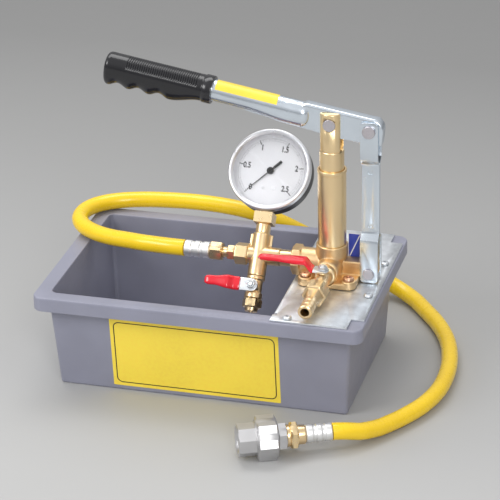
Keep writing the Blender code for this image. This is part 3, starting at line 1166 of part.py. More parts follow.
def make_gauge(stack):
    """Stem, case, bezel, glass, dial and movement; the pointer turns about the case's axis."""
    spigot, start = cross_spigot(CROSS_REACH)
    edge = GAUGE_BLOCK_EDGE
    neck_start = CROSS_REACH + SEAT_GAP
    case_bottom = GAUGE_CENTRE - GAUGE_CASE / 2
    block_top = GAUGE_CENTRE - GAUGE_BEZEL / 2 - SEAT_GAP
    turned("gauge_stem", (
        (spigot, start), (spigot, neck_start), (GAUGE_STEM_NECK, neck_start),
        (GAUGE_STEM_NECK, GAUGE_BLOCK_START - edge), (GAUGE_BLOCK, GAUGE_BLOCK_START, 4),
        (GAUGE_BLOCK, block_top, 4), (GAUGE_POST, block_top), (GAUGE_POST, GAUGE_POST_TOP)),
        BRASS, twist=pi / 4, parent=stack)
    face = {"at": (0, 0, GAUGE_CENTRE), "turn": (pi / 2, 0, 0), "parent": stack}
    case_inner = GAUGE_CASE - 2 * GAUGE_CASE_WALL
    back = -GAUGE_BACK
    case = turned("gauge_case", (
        (case_inner, back + GAUGE_CASE_WALL), (case_inner, GAUGE_CASE_FRONT),
        (GAUGE_CASE, GAUGE_CASE_FRONT), (GAUGE_CASE, back + GAUGE_CASE_WALL),
        (GAUGE_CASE - 2 * GAUGE_CASE_WALL, back)), BLACK_PAINT, count=32, **face)
    cut(case, rod("post_hole", GAUGE_POST + 2 * SEAT_GAP, case_bottom - OVERRUN,
                  case_bottom + GAUGE_CASE_WALL + OVERRUN, count=16, parent=stack))
    seat = GAUGE_CASE_FRONT + SEAT_GAP
    dial_front = seat + GAUGE_DIAL_THICKNESS
    lip = GAUGE_FACE - GAUGE_LIP
    glass_back = lip - SEAT_GAP - GAUGE_GLASS_THICKNESS
    groove = GAUGE_GLASS + 2 * SEAT_GAP
    recess = GAUGE_DIAL + 2 * SEAT_GAP
    turned("gauge_bezel", (
        (GAUGE_BEZEL, seat), (GAUGE_BEZEL, GAUGE_FACE - GAUGE_BEZEL_EDGE),
        (GAUGE_BEZEL - 2 * GAUGE_BEZEL_EDGE, GAUGE_FACE), (GAUGE_OPENING_FLARE, GAUGE_FACE),
        (GAUGE_OPENING, lip), (groove, lip), (groove, glass_back - SEAT_GAP),
        (recess, glass_back - SEAT_GAP), (recess, seat)),
        STAINLESS, count=32, pierced=True, **face)
    turned("gauge_glass", ((GAUGE_GLASS, glass_back), (GAUGE_GLASS, lip - SEAT_GAP)), CLEAR,
           count=32, **face)
    spindle_hole = SPINDLE + 2 * RUN_GAP
    turned("gauge_dial", (
        (GAUGE_DIAL, seat), (GAUGE_DIAL, dial_front), (spindle_hole, dial_front),
        (spindle_hole, seat)), DIAL_WHITE, count=32, pierced=True, **face)
    movement_low = GAUGE_POST_TOP + SEAT_GAP - GAUGE_CENTRE
    movement_high = MOVEMENT_TOP - GAUGE_CENTRE
    half = MOVEMENT_WIDTH / 2
    outline = ((-half, movement_low), (half, movement_low), (half, movement_high),
               (-half, movement_high))
    movement = mesh_object("gauge_movement", prism(outline, -MOVEMENT_BACK, MOVEMENT_FRONT), BRASS,
                           **face)
    cut(movement, rod("movement_hole", spindle_hole, -MOVEMENT_BACK - OVERRUN,
                      MOVEMENT_FRONT + OVERRUN, count=12, **face))
    start_angle = atan((GAUGE_POST / 2 + SEAT_GAP) / BOURDON_RADIUS) - pi / 2
    points = []
    for step in range(BOURDON_POINTS):
        angle = start_angle + BOURDON_SWEEP * step / (BOURDON_POINTS - 1)
        points.append((BOURDON_RADIUS * cos(angle), BOURDON_RADIUS * sin(angle), -BOURDON_BACK))
    tube_object("bourdon_tube", points, BOURDON_TUBE, 1, BRASS, **face)
    make_pointer(stack, dial_front)


def make_pointer(stack, dial_front):
    """The pointer rests at the dial's lower left and swings clockwise."""
    rest_angle = radians(225)
    low = dial_front + POINTER_LIFT
    pointer_frame = frame_empty("pointer_frame", (0, 0, GAUGE_CENTRE), (pi / 2, 0, 0), stack)
    place = {"parent": pointer_frame, "turn": (0, 0, rest_angle)}
    half = POINTER_WIDTH / 2
    tail = POINTER_TAIL_WIDTH / 2
    blade = ((POINTER_LENGTH, -half / 2), (POINTER_LENGTH, half / 2), (0, half),
             (-POINTER_TAIL, tail), (-POINTER_TAIL, -tail), (0, -half))
    pointer = mesh_object("gauge_pointer", prism(blade, low, low + POINTER_SHEET), BLACK, **place)
    hub = ((SPINDLE, MOVEMENT_FRONT - MOVEMENT_BACK), (SPINDLE, low - POINTER_LIFT / 2),
           (POINTER_HUB, low - POINTER_LIFT / 2), (POINTER_HUB, low + POINTER_HUB_HEIGHT / 2),
           (POINTER_HUB - POINTER_WIDTH, low + POINTER_HUB_HEIGHT / 2 + POINTER_WIDTH / 2))
    add(pointer, turned("pointer_hub", hub, BLACK, count=12, **place))


def tube_object(name, points, diameter, resolution, look, **placing):
    """A round tube along points, as a curve with a bevel and closed ends."""
    curve = bpy.data.curves.new(name, "CURVE")
    curve.dimensions = "3D"
    curve.bevel_depth = diameter / 2
    curve.bevel_resolution = resolution
    curve.use_fill_caps = True
    spline = curve.splines.new("POLY")
    spline.points.add(len(points) - 1)
    for slot, point in zip(spline.points, points):
        slot.co = (*point, 1.0)
    return add_object(name, curve, look, **placing)


def joggle_rise(along, start, end, rise):
    """Smooth lift of a valve lever along its length."""
    share = min(max((along - start) / (end - start), 0.0), 1.0)
    return rise * share * share * (3 - 2 * share)


def make_valve_parts(prefix, frame, neck_top, size):
    """Ball, stem, lever, sleeve and nut about a frame whose Z is the stem and X the lever."""
    ball = ball_object(f"{prefix}_ball", VALVE_BALL, STAINLESS, (0, 0, 0), parent=frame)
    cut(ball, rod(f"{prefix}_ball_bore", VALVE_BORE, -VALVE_BALL, VALVE_BALL, count=12,
                  parent=frame, turn=(0, pi / 2, 0)))
    plate_low = neck_top + SEAT_GAP
    plate_high = plate_low + LEVER_SHEET
    nut_low = plate_high + SEAT_GAP
    nut_high = nut_low + LEVER_NUT_HEIGHT
    stem_low = VALVE_BALL / 2 + SEAT_GAP
    turned(f"{prefix}_stem", (
        (STEM_DIAMETER, stem_low), (STEM_DIAMETER, nut_high),
        (STEM_DIAMETER - STEM_TIP, nut_high + STEM_TIP)), ZINC, count=12, parent=frame)
    hole = STEM_DIAMETER + 2 * SEAT_GAP
    turned(f"{prefix}_nut", (
        (LEVER_NUT_FLATS, nut_low, 6), (LEVER_NUT_FLATS, nut_high - STEM_TIP, 6),
        (LEVER_NUT_FLATS - STEM_TIP, nut_high), (hole, nut_high), (hole, nut_low)),
        ZINC, count=12, pierced=True, parent=frame)

    length, width, tongue, sleeve_start, joggle, joggle_start, joggle_end = size
    tongue_end = length - SLEEVE_WALL - SEAT_GAP
    eye_steps = 6
    runs = [(-width / 2 * cos(pi / 2 * step / eye_steps), width * sin(pi / 2 * step / eye_steps))
            for step in range(1, eye_steps + 1)]
    runs += [(sleeve_start - SEAT_GAP, width), (sleeve_start, tongue)]
    joggle_steps = 5
    runs += [(joggle_start + (joggle_end - joggle_start) * step / joggle_steps, tongue)
             for step in range(joggle_steps + 1) if joggle_start > sleeve_start or step]
    runs.append((tongue_end, tongue))

    def box_ring(along, wide, low, high):
        lift = joggle_rise(along, joggle_start, joggle_end, joggle)
        return ((along, -wide / 2, low + lift), (along, wide / 2, low + lift),
                (along, wide / 2, high + lift), (along, -wide / 2, high + lift))

    plate = mesh_object(f"{prefix}_lever",
                        loft([box_ring(along, wide, plate_low, plate_high) for along, wide in runs]),
                        ZINC, parent=frame)
    cut(plate, rod(f"{prefix}_lever_hole", hole, plate_low - OVERRUN, plate_high + OVERRUN,
                   count=12, parent=frame))

    middle = (plate_low + plate_high) / 2
    thick = LEVER_SHEET + 2 * (SLEEVE_WALL + SEAT_GAP)
    full = max(width, tongue + 2 * (SLEEVE_WALL + SEAT_GAP))
    slim = tongue + 2 * (SLEEVE_WALL + SEAT_GAP)
    rings = []
    last = length - thick / 2
    for share in SLEEVE_SHARES:
        along = sleeve_start + (last - sleeve_start) * share
        lift = joggle_rise(along, joggle_start, joggle_end, joggle)
        wide = full if share < SLEEVE_SLIM_SHARE else slim
        rings.append([(along, y, z + middle + lift)
                      for y, z, _ in rounded_rectangle(wide, thick, thick * SLEEVE_ROUND_SHARE, 0, 1)])
    end_lift = middle + joggle_rise(length, joggle_start, joggle_end, joggle)
    tip = SLEEVE_ROUND_SHARE
    rings.append([(length, y * tip, z * tip + end_lift)
                  for y, z, _ in rounded_rectangle(slim, thick, thick * SLEEVE_ROUND_SHARE, 0, 1)])
    sleeve = mesh_object(f"{prefix}_sleeve", loft(rings), RED, smooth=radians(50), parent=frame)
    pocket = [(sleeve_start - OVERRUN, tongue)]
    pocket += [(joggle_start + (joggle_end - joggle_start) * step / joggle_steps, tongue)
               for step in range(joggle_steps + 1) if joggle_start > sleeve_start or step]
    pocket.append((tongue_end + SEAT_GAP, tongue))
    pocket_rings = [box_ring(along, wide + 2 * SEAT_GAP, plate_low - SEAT_GAP, plate_high + SEAT_GAP)
                    for along, wide in pocket]
    cut(sleeve, mesh_object(f"{prefix}_pocket", loft(pocket_rings), RED, parent=frame))


def cut_stem_bore(body, prefix, frame, neck_top):
    """Add the stem's neck to a valve body and bore it, down to the ball's cavity."""
    add(body, rod(f"{prefix}_neck", STEM_NECK, VALVE_CAVITY / 2 + RIM_EDGE, neck_top, count=16,
                  parent=frame))
    cut(body, rod(f"{prefix}_stem_bore", STEM_DIAMETER + 2 * SEAT_GAP, 0, neck_top + OVERRUN,
                  count=12, parent=frame))


def make_drain_valve(stack):
    """Hangs from the cross's lower arm: body, retaining nut, ball, stem and lever."""
    down = {"parent": stack, "turn": (pi, 0, 0)}
    frame = frame_empty("drain_valve_frame", (0, 0, -DRAIN_STEM_AT), (-pi / 2, 0, pi), stack)
    spigot, start = cross_spigot(CROSS_REACH)
    shoulder = CROSS_REACH + SEAT_GAP
    cavity_start = DRAIN_STEM_AT - VALVE_CAVITY / 2
    edge = CROSS_EDGE
    body = turned("drain_valve_body", (
        (spigot, start), (spigot, shoulder), (DRAIN_RING, shoulder), (DRAIN_RING, DRAIN_RING_END),
        (DRAIN_WAIST, DRAIN_RING_END + edge), (DRAIN_WAIST, DRAIN_WAIST_END - edge),
        (DRAIN_LOWER_RING, DRAIN_WAIST_END), (DRAIN_LOWER_RING, DRAIN_BODY_END),
        (VALVE_CAVITY, DRAIN_BODY_END), (VALVE_CAVITY, cavity_start), (VALVE_BORE, cavity_start),
        (VALVE_BORE, start)), BRASS, pierced=True, **down)
    cut_stem_bore(body, "drain", frame, DRAIN_NECK_TOP)
    retainer = VALVE_CAVITY - 2 * SEAT_GAP
    nut_start = DRAIN_BODY_END + SEAT_GAP
    turned("drain_end_nut", (
        (retainer, DRAIN_STEM_AT + VALVE_BALL / 2 + RUN_GAP), (retainer, nut_start),
        (DRAIN_NUT_FLATS - edge, nut_start), (DRAIN_NUT_FLATS, nut_start + edge, 6),
        (DRAIN_NUT_FLATS, DRAIN_NUT_END - edge, 6), (DRAIN_NUT_FLATS - edge, DRAIN_NUT_END),
        (DRAIN_TIP + edge, DRAIN_NUT_END), (DRAIN_TIP, DRAIN_TIP_END), (DRAIN_OUTLET, DRAIN_TIP_END),
        (DRAIN_OUTLET, DRAIN_STEM_AT + VALVE_BALL / 2 + RUN_GAP)),
        MACHINED, count=12, pierced=True, **down)
    make_valve_parts("drain_valve", frame, DRAIN_NECK_TOP, (
        DRAIN_LEVER_LENGTH, DRAIN_LEVER_WIDTH, DRAIN_LEVER_TONGUE, DRAIN_SLEEVE_START,
        DRAIN_JOGGLE, DRAIN_JOGGLE_START, DRAIN_JOGGLE_END))


def make_outlet_valve():
    """Screws into the body's front port and carries the hose barb."""
    forward = {"at": (PUMP_X, 0, PORT_Z), "turn": (pi / 2, 0, 0)}
    frame = frame_empty("outlet_valve_frame", (PUMP_X, -OUTLET_STEM_AT, PORT_Z), (0, 0, pi))
    start = FRONT_PORT_LENGTH - VALVE_SPIGOT_DEPTH + SEAT_GAP
    shoulder = FRONT_PORT_LENGTH + SEAT_GAP
    cavity_start = OUTLET_STEM_AT - VALVE_CAVITY / 2
    edge = CROSS_EDGE
    body = turned("outlet_valve_body", (
        (VALVE_SPIGOT, start), (VALVE_SPIGOT, shoulder), (OUTLET_COLLAR, shoulder),
        (OUTLET_COLLAR, OUTLET_COLLAR_END), (OUTLET_WAIST, OUTLET_COLLAR_END + edge),
        (OUTLET_WAIST, OUTLET_WAIST_END), (OUTLET_END_RING, OUTLET_WAIST_END + 2 * edge),
        (OUTLET_END_RING, OUTLET_END), (VALVE_CAVITY, OUTLET_END), (VALVE_CAVITY, cavity_start),
        (VALVE_BORE, cavity_start), (VALVE_BORE, start)), BRASS, pierced=True, **forward)
    cut_stem_bore(body, "outlet", frame, OUTLET_NECK_TOP)
    retainer = VALVE_CAVITY - 2 * SEAT_GAP
    spigot_start = OUTLET_STEM_AT + VALVE_BALL / 2 + RUN_GAP
    hex_start = OUTLET_END + SEAT_GAP
    rows = [(retainer, spigot_start), (retainer, hex_start), (BARB_HEX_FLATS - edge, hex_start),
            (BARB_HEX_FLATS, hex_start + edge, 6), (BARB_HEX_FLATS, BARB_HEX_END - edge, 6),
            (BARB_CONE + edge, BARB_HEX_END, 6), (BARB_NECK, BARB_CONE_END)]
    for ridge in range(BARB_RIDGES):
        low = BARB_CONE_END + ridge * BARB_RIDGE_PITCH
        high = low + BARB_RIDGE_PITCH
        rows += [(BARB_NECK, low + edge), (BARB_RIDGE, high - 2 * edge), (BARB_RIDGE, high - edge)]
    barb_end = BARB_CONE_END + BARB_RIDGES * BARB_RIDGE_PITCH
    rows += [(BARB_NECK - edge, barb_end), (BARB_BORE, barb_end), (BARB_BORE, hex_start),
             (VALVE_BORE, hex_start), (VALVE_BORE, spigot_start)]
    turned("hose_barb", rows, MACHINED, count=12, pierced=True, **forward)
    make_valve_parts("outlet_valve", frame, OUTLET_NECK_TOP, (
        OUTLET_LEVER_LENGTH, OUTLET_LEVER_WIDTH, OUTLET_LEVER_TONGUE, OUTLET_SLEEVE_START,
        OUTLET_JOGGLE, OUTLET_JOGGLE_START, OUTLET_JOGGLE_END))


def ferrule_rows(diameter, start, end):
    """A crimped sleeve with two pressed grooves, open along the hose tail."""
    bore = HOSE_TAIL + 2 * SEAT_GAP
    crimped = diameter - 2 * FERRULE_CRIMP_DEPTH
    rows = [(diameter - 2 * FERRULE_EDGE, start), (diameter, start + FERRULE_EDGE)]
    third = (end - start) / 3
    for number in (1, 2):
        middle = start + third * number
        half = FERRULE_CRIMP_WIDTH / 2
        rows += [(diameter, middle - half), (crimped, middle - half + FERRULE_CRIMP_DEPTH),
                 (crimped, middle + half - FERRULE_CRIMP_DEPTH), (diameter, middle + half)]
    rows += [(diameter, end - FERRULE_EDGE), (diameter - 2 * FERRULE_EDGE, end), (bore, end),
             (bore, start)]
    return rows


def make_hose_adapter():
    """Screwed into the cross, it carries the coupling nut and the crimped hose end."""
    left = {"at": (CROSS_X, 0, PORT_Z), "turn": (0, -pi / 2, 0)}
    spigot, start = cross_spigot(CROSS_HEX_END)
    shoulder = CROSS_HEX_END + SEAT_GAP
    edge = CROSS_EDGE
    stub_end = ADAPTER_STUB_END
    turned("hose_adapter", (
        (spigot, start), (spigot, shoulder), (ADAPTER_HEX_FLATS - edge, shoulder),
        (ADAPTER_HEX_FLATS, shoulder + edge, 6), (ADAPTER_HEX_FLATS, ADAPTER_HEX_END - edge, 6),
        (ADAPTER_HEX_FLATS - edge, ADAPTER_HEX_END), (ADAPTER_NECK, ADAPTER_HEX_END),
        (ADAPTER_NECK, stub_end), (HOSE_TAIL_BORE, stub_end), (HOSE_TAIL_BORE, start)),
        MACHINED, count=12, pierced=True, **left)
    socket = ADAPTER_NECK + 2 * SEAT_GAP
    nut_start = ADAPTER_NECK_END + SEAT_GAP
    tail_end = FERRULE_END - edge
    turned("hose_nut", (
        (HOSE_NUT_FLATS - edge, nut_start), (HOSE_NUT_FLATS, nut_start + edge, 6),
        (HOSE_NUT_FLATS, HOSE_NUT_END - edge, 6), (HOSE_NUT_FLATS - edge, HOSE_NUT_END),
        (HOSE_TAIL, HOSE_NUT_END), (HOSE_TAIL, tail_end), (HOSE_TAIL_BORE, tail_end),
        (HOSE_TAIL_BORE, stub_end + SEAT_GAP), (socket, stub_end + SEAT_GAP), (socket, nut_start)),
        BRASS, count=12, pierced=True, **left)
    turned("hose_ferrule_pump", ferrule_rows(FERRULE_DIAMETER, HOSE_NUT_END + SEAT_GAP, FERRULE_END),
           FERRULE, count=12, pierced=True, **left)


def smooth_route(route, spacing):
    """Evenly spaced points on a smooth curve between the route's short straight ends."""
    ends = [Vector(route[0]), Vector(route[-1])]
    nodes = [Vector(point) for point in route[1:-1]]
    padded = [ends[0], *nodes, ends[1]]
    dense = []
    steps = 12
    for before, start, end, after in zip(padded, padded[1:], padded[2:], padded[3:]):
        for step in range(steps):
            t = step / steps
            dense.append((start * 2 + (end - before) * t
                          + (before * 2 - start * 5 + end * 4 - after) * t * t
                          + (start * 3 - before - end * 3 + after) * t * t * t) / 2)
    dense.append(nodes[-1])
    reach = [0.0]
    for one, other in zip(dense, dense[1:]):
        reach.append(reach[-1] + (other - one).length)
    count = round(reach[-1] / spacing)
    points = [ends[0]]
    index = 0
    for number in range(count + 1):
        target = reach[-1] * number / count
        while index < len(reach) - 2 and reach[index + 1] < target:
            index += 1
        share = (target - reach[index]) / (reach[index + 1] - reach[index])
        points.append(dense[index].lerp(dense[index + 1], share))
    points.append(ends[1])
    lead = (points[1] - ends[0]).length + (ends[1] - points[-2]).length
    return points, reach[-1] + lead


def make_hose():
    points, length = smooth_route(HOSE_ROUTE, HOSE_POINT_SPACING)
    tube_object("hose", points, HOSE_DIAMETER, 2, YELLOW)
    print("hose length", round(length, 4), "points", len(points))


def make_union():
    """Ferrule, nipple, tail, nut and head in line on the floor, resting on one of the nut's flats."""
    frame = frame_empty("union_frame", (UNION_END_X, UNION_END_Y, UNION_NUT_FLATS / 2),
                        (0, pi / 2, pi + UNION_HEADING))
    edge = UNION_EDGE
    fine = CROSS_EDGE
    turned("hose_ferrule_end", ferrule_rows(END_FERRULE_DIAMETER, -END_FERRULE_LENGTH, -SEAT_GAP),
           FERRULE, count=12, pierced=True, parent=frame)
    thread = TAIL_THREAD
    thread_end = UNION_NUT_START
    tail_start = END_HEX_END + SEAT_GAP
    turned("end_nipple", (
        (HOSE_TAIL, -END_FERRULE_LENGTH + edge), (HOSE_TAIL, 0), (END_NECK, 0),
        (END_NECK, END_NECK_LENGTH), (END_HEX_FLATS - fine, END_NECK_LENGTH),
        (END_HEX_FLATS, END_NECK_LENGTH + fine, 6), (END_HEX_FLATS, END_HEX_END - fine, 6),
        (END_HEX_FLATS - fine, END_HEX_END), (thread, END_HEX_END), (thread, thread_end),
        (HOSE_TAIL_BORE, thread_end), (HOSE_TAIL_BORE, -END_FERRULE_LENGTH + edge)),
        BRASS, count=18, pierced=True, parent=frame)
    neck = TAIL_HEX_FLATS - 2 * edge
    socket = thread + 2 * SEAT_GAP
    turned("union_tail", (
        (TAIL_HEX_FLATS - fine, tail_start), (TAIL_HEX_FLATS, tail_start + fine, 6),
        (TAIL_HEX_FLATS, TAIL_HEX_END - fine, 6), (neck, TAIL_HEX_END), (neck, TAIL_FLANGE_START),
        (TAIL_FLANGE, TAIL_FLANGE_START), (TAIL_FLANGE, TAIL_FLANGE_END),
        (UNION_BORE, TAIL_FLANGE_END), (UNION_BORE, thread_end + SEAT_GAP),
        (socket, thread_end + SEAT_GAP), (socket, tail_start)),
        STAINLESS, count=18, pierced=True, parent=frame)
    lip_bore = neck + 2 * SEAT_GAP
    nut_bore = HEAD_THREAD + 2 * SEAT_GAP
    lip_end = UNION_NUT_START + UNION_NUT_LIP
    turned("union_nut", (
        (UNION_NUT_FLATS - edge, UNION_NUT_START), (UNION_NUT_FLATS, UNION_NUT_START + edge, 6),
        (UNION_NUT_FLATS, UNION_NUT_END - edge, 6), (UNION_NUT_FLATS - edge, UNION_NUT_END),
        (nut_bore, UNION_NUT_END), (nut_bore, lip_end), (lip_bore, lip_end),
        (lip_bore, UNION_NUT_START)),
        STAINLESS, count=18, pierced=True, twist=pi / 6, parent=frame)
    head_hex = UNION_NUT_END + SEAT_GAP
    turned("union_head", (
        (HEAD_THREAD - fine, HEAD_START), (HEAD_THREAD, HEAD_START + fine), (HEAD_THREAD, head_hex),
        (HEAD_HEX_FLATS, head_hex + fine, 8), (HEAD_HEX_FLATS, HEAD_END - fine, 8),
        (HEAD_HEX_FLATS - 2 * fine, HEAD_END), (HEAD_SOCKET, HEAD_END),
        (HEAD_SOCKET, HEAD_END - HEAD_SOCKET_DEPTH), (UNION_BORE, HEAD_END - HEAD_SOCKET_DEPTH),
        (UNION_BORE, HEAD_START)),
        STAINLESS, pierced=True, twist=pi / 8, parent=frame)


def main():
    for old in list(bpy.data.objects):
        bpy.data.objects.remove(old)
    make_tank()
    make_deck_plate()
    make_fasteners()
    make_pump_body()
    make_check_valves()
    make_suction_side()
    make_barrel()
    make_plunger()
    make_link()
    make_lever()
    stack = make_cross()
    make_gauge(stack)
    make_drain_valve(stack)
    make_outlet_valve()
    make_hose_adapter()
    make_hose()
    make_union()


main()
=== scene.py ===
"""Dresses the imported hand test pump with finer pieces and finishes.

Every operator makes one piece or one group of pieces, in metres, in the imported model's own
frame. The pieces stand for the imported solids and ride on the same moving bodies.
"""
import json
from math import atan2, cos, pi, radians, sin, sqrt, tan

import bmesh
import bpy
from bpy.props import FloatProperty, FloatVectorProperty, IntProperty, PointerProperty
from mathutils import Matrix, Vector

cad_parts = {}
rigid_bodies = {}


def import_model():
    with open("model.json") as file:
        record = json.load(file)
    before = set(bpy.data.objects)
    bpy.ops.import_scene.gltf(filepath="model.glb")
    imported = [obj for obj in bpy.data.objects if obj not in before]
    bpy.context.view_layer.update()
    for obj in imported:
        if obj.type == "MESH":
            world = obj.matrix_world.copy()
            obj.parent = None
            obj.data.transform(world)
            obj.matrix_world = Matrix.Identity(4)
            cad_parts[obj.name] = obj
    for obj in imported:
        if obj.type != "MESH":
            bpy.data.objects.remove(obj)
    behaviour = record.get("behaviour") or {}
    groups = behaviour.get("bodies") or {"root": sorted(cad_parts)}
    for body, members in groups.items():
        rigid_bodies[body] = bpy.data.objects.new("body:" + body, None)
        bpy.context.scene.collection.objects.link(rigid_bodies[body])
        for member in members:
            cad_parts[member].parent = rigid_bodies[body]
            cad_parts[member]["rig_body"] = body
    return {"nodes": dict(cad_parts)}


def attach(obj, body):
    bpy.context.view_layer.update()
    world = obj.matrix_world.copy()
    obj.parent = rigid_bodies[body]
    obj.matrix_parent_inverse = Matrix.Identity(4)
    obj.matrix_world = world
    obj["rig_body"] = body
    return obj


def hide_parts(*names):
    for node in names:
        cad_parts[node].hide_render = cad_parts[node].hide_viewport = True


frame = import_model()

bl_info = {
    "name": "Hand test pump finishes",
    "version": (1, 0, 0),
    "blender": (4, 5, 0),
    "location": "3D View > Sidebar > Test Pump",
    "description": "Fine pieces, materials, floor, lights and camera for a hand test pump",
    "category": "Object",
}

MM = 0.001
LEAN = radians(38.0)
LEVER_ANGLE = radians(6.0)
UNION_TURN = radians(24.4)
PUMP_X = 0.111
CROSS_X = 0.0368
PORT_Z = 0.1196
LINK_X = 0.1495
LINK_PIN_Z = 0.1155
FULCRUM_Z = 0.2655
PLUNGER_PIN_Z = FULCRUM_Z + (LINK_X - PUMP_X) * tan(LEVER_ANGLE)

CAMERA_PLACE = (0.6366, -2.1703, 1.1966)
CAMERA_AIM = (-0.0005, 0.0989, 0.0754)
CAMERA_ROLL = radians(-1.13)
CAMERA_LENS = 181.7


def placed(at=(0, 0, 0), turn=(0, 0, 0), inside=Matrix.Identity(4)):
    """A place in metres with an XYZ turn, inside another place."""
    x, y, z = turn
    spin = Matrix.Rotation(z, 4, "Z") @ Matrix.Rotation(y, 4, "Y") @ Matrix.Rotation(x, 4, "X")
    return inside @ Matrix.Translation(at) @ spin


STACK = placed((CROSS_X, 0, PORT_Z), (-LEAN, 0, 0))
LEVER = placed((LINK_X, 0, FULCRUM_Z), (0, -LEVER_ANGLE, pi))
PLACES = {
    "column": placed((PUMP_X, 0, 0)),
    "plunger_pin": placed((PUMP_X, 0, PLUNGER_PIN_Z), (pi / 2, 0, 0)),
    "link_pin": placed((LINK_X, 0, LINK_PIN_Z), (pi / 2, 0, 0)),
    "fulcrum_pin": placed((LINK_X, 0, FULCRUM_Z), (pi / 2, 0, 0)),
    "level": placed((CROSS_X, 0, PORT_Z), (0, pi / 2, 0)),
    "left": placed((CROSS_X, 0, PORT_Z), (0, -pi / 2, 0)),
    "arm": placed((PUMP_X, 0, PORT_Z), (0, -pi / 2, 0)),
    "forward": placed((PUMP_X, 0, PORT_Z), (pi / 2, 0, 0)),
    "outlet": placed((PUMP_X, -0.039, PORT_Z), (0, 0, pi)),
    "stack": STACK,
    "face": placed((0, 0, 0.085), (pi / 2, 0, 0), STACK),
    "down": placed(turn=(pi, 0, 0), inside=STACK),
    "drain": placed((0, 0, -0.033), (-pi / 2, 0, pi), STACK),
    "union": placed((0.1233, -0.1644, 0.019), (0, pi / 2, pi + UNION_TURN)),
}

# Sections of turned pieces, in millimetres: the size across and the height in each row, and the
# number of flats where the piece has any.
THREAD = 11.2
BORE = 6.5
SMALL_BORE = 5.0
PIN = 8.0


def hexed(across, low, high, flats=6, chamfer=0.8):
    """Flats between two turned chamfers."""
    return ((across - chamfer, low), (across, low + chamfer, flats),
            (across, high - chamfer, flats), (across - chamfer, high))


def pin_section(half_grip, head):
    """A pin between a small peened head and a larger formed one."""
    return ((PIN + 1.3, -half_grip - 1.6), (PIN + 2.5, -half_grip), (PIN, -half_grip),
            (PIN, half_grip), (head, half_grip), (head, half_grip + 1.6),
            (head - 1.2, half_grip + 2.2))


def crimped(across, low, high, crimps=2, width=4.0, slope=0.7, depth=0.7):
    """A ferrule with evenly spaced crimped bands, open for the hose."""
    rows = [(across - 2, low), (across, low + 1)]
    for number in range(1, crimps + 1):
        middle = low + (high - low) * number / (crimps + 1)
        rows += [(across, middle - width / 2), (across - 2 * depth, middle - width / 2 + slope),
                 (across - 2 * depth, middle + width / 2 - slope), (across, middle + width / 2)]
    return (*rows, (across, high - 1), (across - 2, high), (9.1, high), (9.1, low))


def barbed(start, crest=14.2, root=13.2, ridges=3, pitch=8.0):
    """Shallow ridges, each a long rise and a short fall."""
    rows = [(root, start), (root, start + 0.8)]
    for number in range(ridges):
        low = start + 0.8 + number * pitch
        rows += [(crest, low + 5.6), (crest, low + 6.4), (root, low + pitch)]
    return (*rows[:-1], (11.7, start + ridges * pitch))


def nut_section(low):
    """A small locknut on a washer."""
    return ((10, low), (10.4, low + 0.3), (10, low + 0.7), (8, low + 0.7, 6), (8, low + 2.8, 6),
            (7.2, low + 3.6), (5.6, low + 3.6), (5.6, low))


